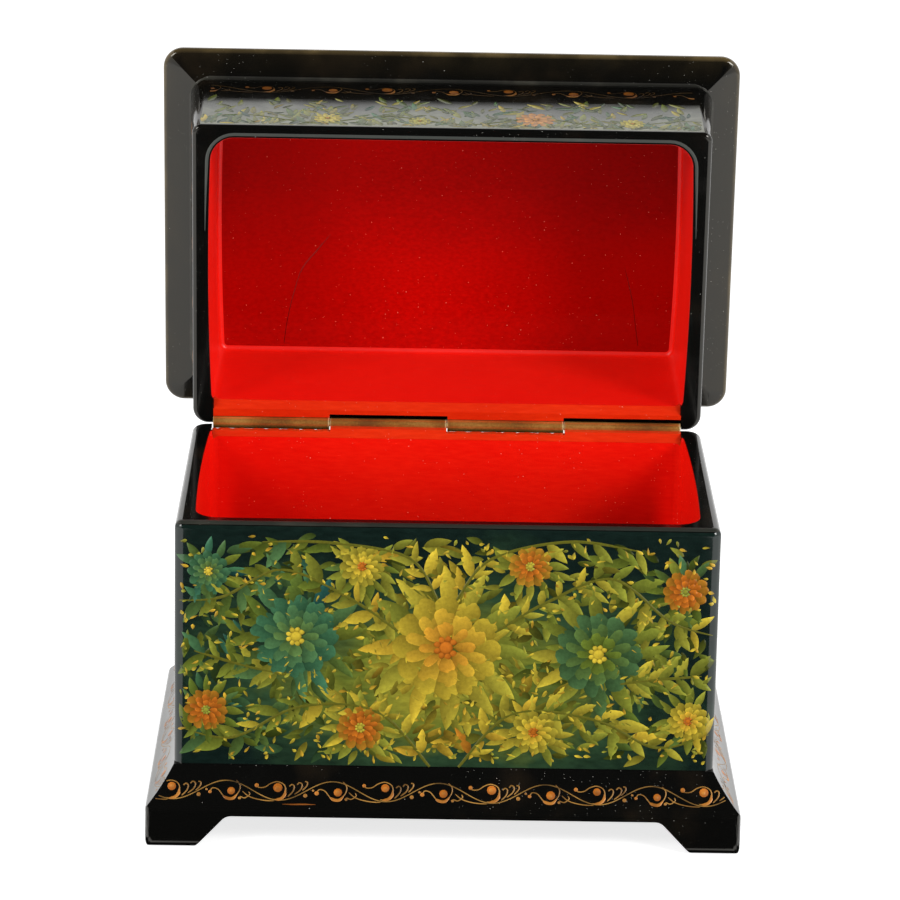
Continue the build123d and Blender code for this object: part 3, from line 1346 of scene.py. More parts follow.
@dataclass
class RedLining:
    """The red coat inside the body and the lid, with the bevel and rim in front of the hinge."""

    finishes: Finishes
    brush: Brush
    half_w: float = 51.9
    lid_front: float = -31.3
    bow: float = 0.7
    front_r: float = 5.0
    back_r: float = 2.0
    bevel: float = 1.5
    bevel_end: float = 51.38
    seat: float = 1.38
    notch: float = 2.13
    notch_lip: float = 1.0
    notch_fill: float = 0.42
    notch_side: float = 0.2
    foot_r: float = 1.1
    coat: float = 0.10
    bevel_coat: float = 0.05
    glue: float = 0.05
    lip: float = 0.15
    hidden_gap: float = 0.02
    least_bend: float = 0.25
    bevel_gap: float = 0.06
    bevel_start: float = 0.11
    bevel_sink: float = 0.05
    bevel_lean: float = 0.6
    rim_sink: float = 0.01
    strip_over: float = 0.2
    strip_steps: int = 41
    ripples: tuple = ((0.06, 1.7, 0.0), (0.05, 4.1, 1.0))
    edge_out: float = 0.7
    edge_half: float = 0.34
    edge_rise: float = 0.03
    edge_reach: float = 22.0
    edge_sink: float = 0.04
    edge_tip: float = 0.15
    edge_grow: float = 0.14
    crack_width: float = 0.15
    crack_tones: tuple = (1.0, 1.5)
    cracks: tuple = (
        ((-26.7, 0.9), (-30.0, 5.0), (-33.2, 9.3), (-35.2, 15.7), (-36.5, 21.7), (-37.2, 27.0)),
        ((40.1, 7.8), (42.0, 15.4), (43.1, 22.6), (43.7, 26.4)),
    )

    def __post_init__(self) -> None:
        """Read the hollow's ends off the floor board."""
        low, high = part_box("body_floor")
        self.front = low.y / MM - self.glue
        self.back = high.y / MM + self.glue
        self.floor = high.z / MM
        self.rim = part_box("body_wall")[1].z / MM
        self.hinge_y = frame["joints"][0]["pos_m"][1] / MM
        bend = np.linspace(self.half_w - self.back_r, self.bevel_end, 6)
        self.corner_steps = (*-bend, *bend)

    def outline(self, inset: float, front: float) -> np.ndarray:
        """Give the hollow's outline.

        Args:
            inset: Distance inwards.
            front: Where the hollow ends in front.

        Returns:
            Points in the plane, from the front left corner round by the front.
        """
        middle, half_d = (front + self.back) / 2, (self.back - front) / 2
        corners = (
            (-1, front, self.front_r, 180),
            (1, front, self.front_r, 270),
            (1, self.back, self.back_r, 0),
            (-1, self.back, self.back_r, 90),
        )
        arcs = []
        for sign, edge, radius, start in corners:
            turn = np.radians(start + np.linspace(0, 90, 9))
            bend = max(radius - inset, self.least_bend)
            gap = max(inset, radius - bend)
            cx = sign * (self.half_w - gap - bend)
            cy = edge + (gap + bend) * (1 if edge == front else -1)
            arcs.append(np.stack([cx + bend * np.cos(turn), cy + bend * np.sin(turn)], axis=1))
        points = []
        for arc, nxt, runs in zip(arcs, arcs[1:] + arcs[:1], (36, 20, 36, 20)):
            points.extend(arc)
            points.extend(arc[-1] + (nxt[0] - arc[-1]) * t for t in np.arange(1, runs) / runs)
        ring = np.array(points)
        swell = self.bow * (1 - ((ring[:, 1] - middle) / half_d) ** 2).clip(0)
        ring[:, 0] += swell * ring[:, 0] / self.half_w
        return ring

    def tray(self, depth: float, front: float) -> list[np.ndarray]:
        """Make the coat's rings for a hollow that opens at zero and is this deep.

        Args:
            depth: Depth in millimetres.
            front: Where the hollow ends in front.

        Returns:
            Rings from the seen bottom up to the lip and down behind, with depth as third number.
        """
        turns = np.radians(np.linspace(90, 0, 7))
        bottom, bend = depth - self.coat, self.foot_r
        inner = [(self.coat + bend * (1 - math.cos(t)), bottom - bend * (1 - math.sin(t))) for t in turns]
        seen = inner + [(self.coat, self.lip)]
        gap = self.hidden_gap
        hidden = [(gap, self.lip), (gap, depth - gap)]
        rings = []
        for inset, deep in seen + hidden:
            ring = self.outline(inset, front)
            downs = np.full(len(ring), deep)
            behind = (ring[:, 1] > self.back - self.back_r) & (np.abs(ring[:, 0]) < self.bevel_end)
            slant = self.bevel + self.back - ring[behind, 1] + self.bevel_gap
            downs[behind] = np.maximum(downs[behind], slant)
            rings.append(np.column_stack([ring, downs]))
        return rings

    def slope(self, x: float, drop: float, end: float) -> np.ndarray:
        """Give the section of the bevel's coat at one place along the hinge.

        Args:
            x: Place along the hinge.
            drop: How far the rim is let down there.
            end: Where the rim meets the hinge.

        Returns:
            A closed loop of places across and depths below the rim, all at x.
        """
        thick = self.bevel_coat
        corner = max(abs(x) - self.half_w + self.back_r, 0.0)
        start = self.back - self.back_r + math.sqrt(self.back_r**2 - corner**2) - self.bevel_start
        under = [
            (start, self.bevel + self.back - start + self.bevel_sink),
            (self.back + self.bevel - drop, drop + self.rim_sink),
            (end, drop + self.rim_sink),
        ]
        over = [(y - self.bevel_lean * thick, z - thick) for y, z in under]
        loop = np.array(over + under[::-1])
        return np.column_stack([np.full(len(loop), x), loop])

    def strip(self, own: str, other: str, drop: float) -> Skin:
        """Make the coat of the bevel and of the rim in front of the hinge, knuckle by knuckle.

        Args:
            own: Body whose knuckles are let into this rim.
            other: Body whose knuckles it makes room for.
            drop: How far the rim is let down before those.

        Returns:
            Points with depth below the rim as third number, and faces.
        """
        points, faces, count = [], [], 0
        reach = self.bevel_end + self.strip_over
        rooms = ((own, 0.0, self.seat, 0.0), (other, drop, self.notch, self.notch_side))
        for (body, fall, room, grow), hand in itertools.product(rooms, ("left", "right")):
            low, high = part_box(f"{body}_knuckle_{hand}")
            ends = np.clip((low.x / MM - grow, high.x / MM + grow), -reach, reach)
            bends = (e for e in self.corner_steps if ends[0] < e < ends[1])
            rings = []
            for x in sorted({*np.linspace(*ends, self.strip_steps), *bends}):
                wave = fall
                for size, rate, start in self.ripples if fall else ():
                    wave += size * math.sin(rate * x + start)
                rings.append(self.slope(x, wave, self.hinge_y - room))
            more, skin = closed_stack(rings)
            faces.extend([[k + count for k in face] for face in skin])
            points.append(more)
            count += len(more)
        return np.concatenate(points), faces

    def build(self) -> None:
        """Make the coats of the body and of the lid."""
        lid_low, lid_high = shut_box("lid_wall")
        # worn is the orange-tinted red, a painted reflection of the brass knuckles.
        coats, worn = self.finishes, self.finishes.brass_tinted_red
        body_strip = self.strip("body", "lid", self.notch_lip - self.notch_fill)
        lid_strip = self.strip("lid", "body", 0.0)
        body_coat = closed_stack(self.tray(self.rim - self.floor, self.front))
        lid_coat = closed_stack(self.tray(lid_high.z - lid_low.z, self.lid_front))
        for name, body, (points, faces), finish, bottom in (
            ("body_red_coat", Body.CASKET, body_coat, coats.well, coats.well),
            ("body_red_bevel", Body.CASKET, body_strip, worn, None),
            # The lid's ceiling face takes the darker red with painted shade.
            ("lid_red_coat", Body.LID, lid_coat, coats.red, coats.ceiling),
            ("lid_red_bevel", Body.LID, lid_strip, worn, None),
        ):
            if body is Body.LID:
                points[:, 2] = lid_low.z + points[:, 2]
                points = stood_open(points)
            else:
                points[:, 2] = self.rim - points[:, 2]
            piece = solid_piece(name, points, faces, finish)
            if bottom is not None:
                piece.data.materials.append(bottom)
                piece.data.polygons[len(faces) - 2].material_index = 1
            settle(piece, body)
        self.hairlines(lid_high.z - self.coat)
        self.painted_highlight_line(lid_low.z)

    def painted_highlight_line(self, height: float) -> None:
        """Lay the thin pale line along the front of the lid's opening, a painted highlight on its inner round,
        fading along its sides.

        Args:
            height: Height of the lid's rim with the lid shut.
        """
        ring = self.outline(-self.edge_out, self.lid_front)
        seen = ring[:, 1] < self.lid_front + self.edge_reach
        start = int(np.flatnonzero(~seen).max()) + 1
        path = np.roll(ring, -start, axis=0)[: int(seen.sum())]
        along = np.gradient(path, axis=0)
        across = np.column_stack([along[:, 1], -along[:, 0]]) / np.linalg.norm(along, axis=1)[:, None]
        turns = np.linspace(0, math.pi, 7)
        section = [(math.cos(t), -self.edge_rise * math.sin(t)) for t in turns]
        section += [(-1.0, self.edge_sink), (1.0, self.edge_sink)]
        rings = []
        for k, (spot, out) in enumerate(zip(path, across)):
            grown = self.edge_tip + self.edge_grow * min(k, len(path) - 1 - k)
            half = self.edge_half * min(1.0, grown)
            rings.append(np.array([(*(spot + half * w * out), height + z) for w, z in section]))
        points, faces = closed_stack(rings)
        piece = solid_piece("lid_edge_line", stood_open(points), faces, self.finishes.edge, THIN_CREASE)
        settle(piece, Body.LID)

    def hairlines(self, height: float) -> None:
        """Draw the hair cracks in the lid's ceiling.

        Args:
            height: Height of the ceiling with the lid shut.
        """
        lines = Lines()
        for crack, tone in zip(self.cracks, self.crack_tones):
            path = smooth_path([(x, self.back - y) for x, y in crack])
            lines.add(path, self.crack_width, (0.3, 0.8), 0.0, tone)
        section = np.array([(-self.back, height), (-self.lid_front, height)])
        ceiling = Wrap(Side.FRONT, 0.0, section, pose=opened_lid())
        piece = self.brush.draw_lines("ceiling_cracks", lines, ceiling, self.finishes.crack)
        settle(piece, Body.LID)


@dataclass
class FlowerPicture:
    """A generic folk spray of blossoms and leaves on the casket's front."""

    finishes: Finishes
    brush: Brush
    width: float = 110.0
    height: float = 52.35
    leaf_gap: float = 0.7
    line_low: float = 52.55
    line_high: float = 53.7
    foot_gap: float = 0.25
    taper: float = 0.3
    shoulder_r: float = 1.6
    corner_r: float = 2.0
    wrap_deg: float = 62.0
    columns: int = 34
    rows: int = 15
    side_out: float = 0.6
    edge_gap: float = 0.4
    stem_lift: float = 0.05
    stem_width: float = 0.65
    buds: int = 620
    bud_gap: float = 2.2
    bud_lift: float = 0.045
    bud_hues: tuple = (0.62, 0.75, 0.8, 0.86)
    ring_leaves: int = 12
    heart_dots: int = 9
    petal_rings: tuple = (
        (12, 0.40, 0.62, 0.46, 0.66),
        (10, 0.24, 0.52, 0.40, 0.9),
        (8, 0.12, 0.40, 0.32, 1.1),
    )
    blossoms: tuple = (
        (0.0, 26.5, 11.5, 0.80, 1.0),
        (-31.0, 28.5, 9.2, 0.20, 0.8),
        (31.5, 25.5, 9.2, 0.28, 0.8),
        (-49.5, 12.0, 4.6, 0.95, 0.6),
        (49.0, 39.5, 4.8, 0.95, 0.6),
        (-17.5, 44.0, 4.6, 0.70, 1.0),
        (17.0, 44.5, 4.6, 0.92, 0.7),
        (18.5, 8.0, 5.0, 0.72, 1.0),
        (-17.5, 8.5, 5.0, 0.94, 0.7),
        (50.5, 11.0, 4.4, 0.75, 1.0),
        (-49.0, 42.5, 4.4, 0.22, 0.8),
    )
    stems: tuple = (
        ((-3, 0), (-14, 12), (-30, 13), (-44, 6), (-55, 8)),
        ((3, 0), (14, 12), (31, 11), (44, 5), (55, 8)),
        ((-10, 30), (-20, 37), (-34, 43), (-46, 37), (-55, 36)),
        ((10, 30), (21, 37), (34, 42), (46, 33), (55, 30)),
        ((-2, 37), (-8, 46), (-24, 49), (-38, 49)),
        ((2, 37), (9, 46), (25, 50), (40, 48)),
        ((-33, 20), (-42, 22), (-52, 25)),
        ((36, 19), (43, 20), (53, 21)),
    )

    def __post_init__(self) -> None:
        """Set the face that the picture lies on."""
        low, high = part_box("body_wall")
        foot, top = low.z / MM + self.foot_gap, high.z / MM
        self.upright = upright = top - self.shoulder_r - foot
        rise = np.linspace(0, upright, 30)
        drop = self.taper * (1 - (rise + self.foot_gap) / (top - low.z / MM))
        bend = np.linspace(0, math.pi / 2, 13)[1:]
        rise = np.concatenate([rise, upright + self.shoulder_r * np.sin(bend)])
        drop = np.concatenate([drop, drop[-1] - self.shoulder_r * (1 - np.cos(bend))])
        self.face = Wrap(
            Side.FRONT,
            -low.y / MM - self.taper,
            np.column_stack([drop, foot + rise]),
            high.x / MM - self.taper + self.taper / 2 - self.corner_r,
            self.corner_r,
        )
        self.random = np.random.default_rng(41)

    def skin(self, name: str, rows: Sequence[float], finish: Material, slot: Slot) -> None:
        """Make a thin skin on the front, which turns round the front corners.

        Args:
            name: Name of the piece.
            rows: Heights of its rows of points, along the face.
            finish: Its finish.
            slot: Not used.
        """
        flat_half = self.face.flat_half
        turn = math.radians(self.wrap_deg) * self.corner_r
        across = np.concatenate(
            [
                np.linspace(-flat_half - turn, -flat_half, 7)[:-1],
                np.linspace(-flat_half, flat_half, 45),
                np.linspace(flat_half, flat_half + turn, 7)[1:],
            ]
        )
        settle(thin_skin(name, self.face, across, rows, SKIN_LIFT, finish), Body.CASKET)

    def spray(self) -> tuple[Strokes, Strokes, Strokes, Lines]:
        """Lay out the spray in the flat.

        Returns:
            Leaves, petals, dots and stems.
        """
        leaves, petals, dots, stems = Strokes(), Strokes(), Strokes(), Lines()
        rnd = self.random
        half = self.width / 2
        centres = np.array([b[:2] for b in self.blossoms])
        for column in range(self.columns):
            for row in range(self.rows):
                u = -half + (column + rnd.uniform(0, 1)) * self.width / self.columns
                v = (row + rnd.uniform(0, 1)) * self.height / self.rows
                away = np.array([u, v]) - centres[np.argmin(np.hypot(*(centres - (u, v)).T))]
                angle = math.atan2(away[1], away[0]) + rnd.uniform(-0.9, 0.9)
                size, hue = rnd.uniform(3.2, 6.4), self.leaf_hue(u, v)
                self.leaf(leaves, (u, v), angle, size, hue, rnd.uniform(0.25, 0.95), rnd.uniform(0, 0.02))
        for path in self.stems:
            line = smooth_path(path, 14)
            stems.add(line, self.stem_width, (0.8, 0.3), 0.62, 0.8)
            for k in range(4, len(line) - 2, 4):
                run = line[k + 1] - line[k - 1]
                for sign in (-1, 1):
                    angle = math.atan2(run[1], run[0]) + sign * rnd.uniform(0.55, 1.0)
                    size = rnd.uniform(4.5, 7.5)
                    hue = self.leaf_hue(*line[k]) + 0.12
                    self.leaf(leaves, line[k], angle, size, hue, rnd.uniform(0.75, 1.15), 0.03)
        for u, v, radius, hue, core in self.blossoms:
            self.blossom(leaves, petals, dots, (u, v), radius, hue, core)
        room = self.height - 2 * self.bud_gap
        for _ in range(self.buds):
            u, v = rnd.uniform(-half, half), self.bud_gap + room * rnd.uniform(0, 1) ** 1.25
            petals.add(
                (u, v),
                rnd.uniform(0, math.tau),
                rnd.uniform(0.9, 2.0),
                rnd.uniform(0.45, 0.8),
                0.1,
                rnd.choice(self.bud_hues),
                rnd.uniform(0.6, 1.15),
                self.bud_lift,
            )
        return leaves, petals, dots, stems

    def leaf_hue(self, u: float, v: float) -> float:
        """Pick a leaf's hue: cooler to the left and up, yellow towards the middle and foot."""
        warm = 0.52 - 0.26 * (u < -22) * self.random.uniform(0, 1) - 0.12 * v / self.height
        warm += 0.24 * math.exp(-((u / 26) ** 2))
        return float(np.clip(warm + self.random.normal(0, 0.09), 0.02, 0.84))

    def leaf(
        self,
        leaves: Strokes,
        spot: Sequence[float],
        angle: float,
        size: float,
        hue: float,
        tone: float,
        lift: float,
    ) -> None:
        """Add a leaf that stays on the face.

        Args:
            leaves: Where it is gathered.
            spot: Its root.
            angle: Its direction.
            size: Its length.
            hue: Its hue number.
            tone: Its lightness.
            lift: Height of its underside.
        """
        tip_u, tip_v = ray(spot, angle, size)
        if abs(tip_u) > self.width / 2 + self.side_out:
            return
        if not self.edge_gap < tip_v < self.height - self.edge_gap:
            return
        width, bend = size * self.random.uniform(0.3, 0.42), self.random.uniform(-0.25, 0.25)
        if max(spot[1], tip_v) < self.upright - self.leaf_gap:
            leaves.add(spot, angle, size, width, bend, hue, tone, lift)

    def blossom(
        self,
        leaves: Strokes,
        petals: Strokes,
        dots: Strokes,
        spot: tuple[float, float],
        radius: float,
        hue: float,
        core: float,
    ) -> None:
        """Add a blossom with its ring of leaves.

        Args:
            leaves: Where its leaves are gathered.
            petals: Where its petals are gathered.
            dots: Where the dots of its heart are gathered.
            spot: Its middle.
            radius: Its radius.
            hue: Hue number of its petals.
            core: Hue number of its heart.
        """
        rnd = self.random
        for k in range(self.ring_leaves):
            angle = math.tau * (k + rnd.uniform(-0.2, 0.2)) / self.ring_leaves
            root = ray(spot, angle, 0.7 * radius)
            hue_there = self.leaf_hue(*root)
            self.leaf(leaves, root, angle, 0.8 * radius + 1, hue_there, rnd.uniform(0.7, 1.1), 0.035)
        for ring, (count, start, length, width, tone) in enumerate(self.petal_rings):
            for k in range(count):
                angle = math.tau * (k + 0.5 * ring) / count + rnd.uniform(-0.08, 0.08)
                petals.add(
                    ray(spot, angle, start * radius),
                    angle,
                    length * radius * rnd.uniform(0.93, 1.05),
                    width * radius,
                    rnd.uniform(-0.1, 0.1),
                    min(hue + 0.06 * ring, 1.0),
                    tone * rnd.uniform(0.9, 1.1),
                    0.05 + 0.012 * ring,
                )
        for k in range(self.heart_dots):
            size = (0.13 if k else 0.26) * radius
            root = ray(spot, math.tau * k / self.heart_dots, 0.17 * radius * (k > 0))
            dots.add(root, 0.0, size, size, 0.0, core, rnd.uniform(0.8, 1.2), 0.09)

    def build(self) -> None:
        """Make the picture and the pale line on the rim's shoulder, a painted highlight."""
        shoulder = np.linspace(self.upright, self.height, 6)[1:]
        rows = np.concatenate([np.linspace(0, self.upright, 22), shoulder])
        self.skin("picture_ground", rows, self.finishes.ground, Slot.PAINT)
        self.skin("rim_line", np.linspace(self.line_low, self.line_high, 7), self.finishes.rim, Slot.BLACK)
        leaves, petals, dots, stems = self.spray()
        paint = self.finishes.paint
        for piece in (
            self.brush.draw_strokes("picture_leaves", leaves, Blank.LEAF, self.face, paint, SKIN_LIFT),
            self.brush.draw_strokes("picture_petals", petals, Blank.PETAL, self.face, paint, SKIN_LIFT),
            self.brush.draw_strokes("picture_dots", dots, Blank.DOT, self.face, paint, SKIN_LIFT),
            self.brush.draw_lines("picture_stems", stems, self.face, paint, self.stem_lift),
        ):
            settle(piece, Body.CASKET)


@dataclass
class GoldVine:
    """A running scroll of gold: a wave with a berry in every bend, curls round the berries and small crooks.

    Places are in mm from the wave's trough or crest and from its middle line.
    """

    period: float = 22.15
    swing: float = 2.05
    middle: float = 4.3
    berry: float = 2.0
    line: float = 0.21
    shine: float = 1.0
    glow: float = 1.0
    high_heart: tuple = (-0.2, 0.75)
    low_heart: tuple = (1.0, -0.25)
    high_curl: tuple = (
        (-1.2, -1.75), (0.4, -1.75), (1.4, -0.5), (1.2, 1.25), (-0.2, 2.0),
        (-1.65, 1.65), (-2.9, 0.85), (-4.1, 0.75), (-4.6, 1.2),
    )
    low_curl: tuple = (
        (2.05, 2.0), (2.85, 0.9), (2.45, -0.65), (1.0, -1.95),
        (-0.45, -1.45), (-1.7, 0.0), (-2.9, 0.3), (-3.4, -0.5),
    )
    high_crescent: tuple = ((-0.9, -1.85), (0.4, -1.65), (1.25, -0.75), (1.35, 0.4))
    low_crescent: tuple = ((-0.7, -1.3), (0.2, -1.85), (1.4, -1.85), (2.4, -0.75))
    crooks: tuple = (
        ((1.8, -1.3), (2.8, -0.2), (3.1, 0.9), (2.6, 1.3), (2.1, 0.9)),
        ((3.1, -0.8), (4.3, 0.2), (4.65, 1.3), (4.05, 1.7), (3.6, 1.25)),
        ((4.7, 0.0), (5.6, 1.0), (5.7, 1.75), (5.2, 1.9)),
    )
    branches: tuple = (
        ((3.4, -0.2), (4.6, -1.2), (6.2, -1.8), (8.2, -2.15), (10.0, -2.2)),
        ((2.9, -1.3), (3.9, -1.65), (4.9, -0.9), (4.7, -0.3)),
    )
    spots: tuple = ((5.4, -1.0, 0.85), (13.9, -1.7, 0.6), (7.0, 0.1, 0.5))
    touches: tuple = ((0.9, 0.0, 1.0, 0.8, 0.0), (0.62, 0.2, 0.8, 1.0, 0.02), (0.4, 0.14, 0.5, 1.15, 0.04))
    drift: float = 0.15
    step: float = 0.35

    def draw(self, lines: Lines, dots: Strokes, start: float, inside: Inside, span: float) -> None:
        """Lay the scroll out in the flat.

        Args:
            lines: Where its lines are gathered.
            dots: Where berries and dots are gathered.
            start: Place of a trough.
            inside: Says whether a point is on the face.
            span: Half length of the face.
        """
        rnd = np.random.default_rng(9)
        along = np.arange(-span, span, self.step)
        wave = self.middle - self.swing * np.cos(math.tau * (along - start) / self.period)
        lines.add(np.column_stack([along, wave]), self.line, (1, 1), 0.0, 0.9 * self.shine, inside)
        first = math.floor((-span - start) / self.period) - 1
        for k in range(first, first + int(2 * span / self.period) + 4):
            trough = start + k * self.period
            crest = trough + self.period / 2
            for base, curl, crescent, heart in (
                (trough, self.high_curl, self.high_crescent, self.high_heart),
                (crest, self.low_curl, self.low_crescent, self.low_heart),
            ):
                at = np.array([base, self.middle]) + rnd.uniform(-self.drift, self.drift, 2)
                path = smooth_path(np.array(curl) + at, 8)
                lines.add(path, self.line, (0.7, 0.7), 0.1, self.shine, inside)
                bow = smooth_path(np.array(crescent) + at, 8)
                lines.add(bow, 3 * self.line, (0.1, 0.1), 0.5, self.glow, inside)
                self.fruit(dots, np.array(heart) + at, self.berry * rnd.uniform(0.85, 1.1), rnd, inside)
                self.spot(dots, path[-1], 0.9 * rnd.uniform(0.7, 1.2), 0.6, self.glow, inside)
            for crook in self.crooks:
                bend = np.array(crook) + (trough, self.middle) + rnd.uniform(-self.drift, self.drift, 2)
                tone = rnd.uniform(0.65, 1.0) * self.shine
                lines.add(smooth_path(bend, 6), 1.2 * self.line, (0.6, 0.9), 0.1, tone, inside)
            for branch in self.branches:
                bend = np.array(branch) + (crest, self.middle)
                lines.add(smooth_path(bend, 6), self.line, (0.5, 0.5), 0.1, self.shine, inside)
            for u, v, size in self.spots:
                self.spot(dots, (trough + u, self.middle + v), size, 0.25, 0.9 * self.shine, inside)

    def fruit(
        self, dots: Strokes, place: np.ndarray, size: float, rnd: np.random.Generator, inside: Inside
    ) -> None:
        """Dab one berry with a few touches of the brush.

        Args:
            dots: Where the touches are gathered.
            place: Its middle.
            size: Its diameter.
            rnd: Source of chance.
            inside: Says whether a point is on the face.
        """
        for share, reach, hue, tone, lift in self.touches:
            turn = rnd.uniform(0, math.tau)
            u, v = place + 0.5 * size * reach * np.array([math.cos(turn), math.sin(turn)])
            self.spot(dots, (u, v), size * share, hue, tone * self.glow, inside, lift)

    def spot(
        self,
        dots: Strokes,
        place: tuple[float, float],
        size: float,
        hue: float,
        tone: float,
        inside: Inside,
        lift: float = 0.0,
    ) -> None:
        """Add a round dot where it is on the face.

        Args:
            dots: Where it is gathered.
            place: Its middle.
            size: Its diameter.
            hue: Share of amber.
            tone: Its lightness.
            inside: Says whether a point is on the face.
            lift: Height of its underside.
        """
        if inside(place[0] - size / 2, place[1]) and inside(place[0] + size / 2, place[1]):
            dots.add(place, 0.0, size, size, 0.0, hue, tone, lift)


@dataclass
class GoldScroll:
    """The gold lines and berries of one body, gathered face by face and then joined."""

    finishes: Finishes
    brush: Brush
    lines: list = field(default_factory=list)
    berries: list = field(default_factory=list)

    def lay(self, name: str, lines: Lines, dots: Strokes, face: Wrap) -> None:
        """Draw what one face carries.

        Args:
            name: Name of the face.
            lines: Its lines.
            dots: Its berries and dots.
            face: The face.
        """
        gold = self.finishes.gold
        self.lines.append(self.brush.draw_lines(f"{name}_lines", lines, face, gold))
        self.berries.append(self.brush.draw_strokes(f"{name}_berries", dots, Blank.DOT, face, gold))

    def end(self, name: str, body: Body) -> None:
        """Join the faces and let them ride on their body.

        Args:
            name: Name that the joined pieces begin with.
            body: The body.
        """
        for label, pieces in (("lines", self.lines), ("berries", self.berries)):
            settle(join(pieces, f"{name}_{label}"), body)


@dataclass
class PlinthOrnament:
    """Gold scroll on the hollow bevel of the plinth, on all four sides."""

    finishes: Finishes
    brush: Brush
    bevel_out: float = 5.7
    bevel_low: float = 8.7
    hollow: float = 0.35
    front_trough: float = -56.3
    scuff: tuple = ((-33.5, 1.4), (-31.2, 1.36), (-28.9, 1.42), (-26.6, 1.38))
    side_trough: float = -36.0
    mitre_gap: float = 0.7

    def build(self) -> None:
        """Draw the scroll on each rail."""
        boxes = {side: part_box(f"plinth_{side.name.lower()}") for side in Side}
        chord = np.array([-self.bevel_out, boxes[Side.FRONT][1].z / MM - self.bevel_low])
        slope = float(np.hypot(*chord))
        inward = np.array([-chord[1], chord[0]]) / slope
        share = np.linspace(0, 1, 40)[:, None]
        section = (self.bevel_out, self.bevel_low) + share * chord
        section = section + inward * self.hollow * 4 * share * (1 - share)
        half_w, half_d = boxes[Side.RIGHT][1].x / MM, boxes[Side.BACK][1].y / MM
        scroll = GoldScroll(self.finishes, self.brush)
        for side in Side:
            lengthwise = side in (Side.FRONT, Side.BACK)
            toe, span = (half_d, half_w) if lengthwise else (half_w, half_d)
            trough = self.front_trough if lengthwise else self.side_trough

            def inside(u: float, v: float, span: float = span) -> bool:
                """Say whether a point keeps clear of the mitres."""
                return abs(u) < span - self.bevel_out * v / slope - self.mitre_gap

            lines, dots = Lines(), Strokes()
            GoldVine().draw(lines, dots, trough, inside, span)
            if side is Side.FRONT:
                lines.add(np.array(self.scuff), 0.3, (0.2, 0.2), 1.0, 0.5)
            face = Wrap(side, toe - self.bevel_out, section)
            scroll.lay(f"plinth_{side.name.lower()}", lines, dots, face)
        scroll.end("plinth_vine", Body.CASKET)


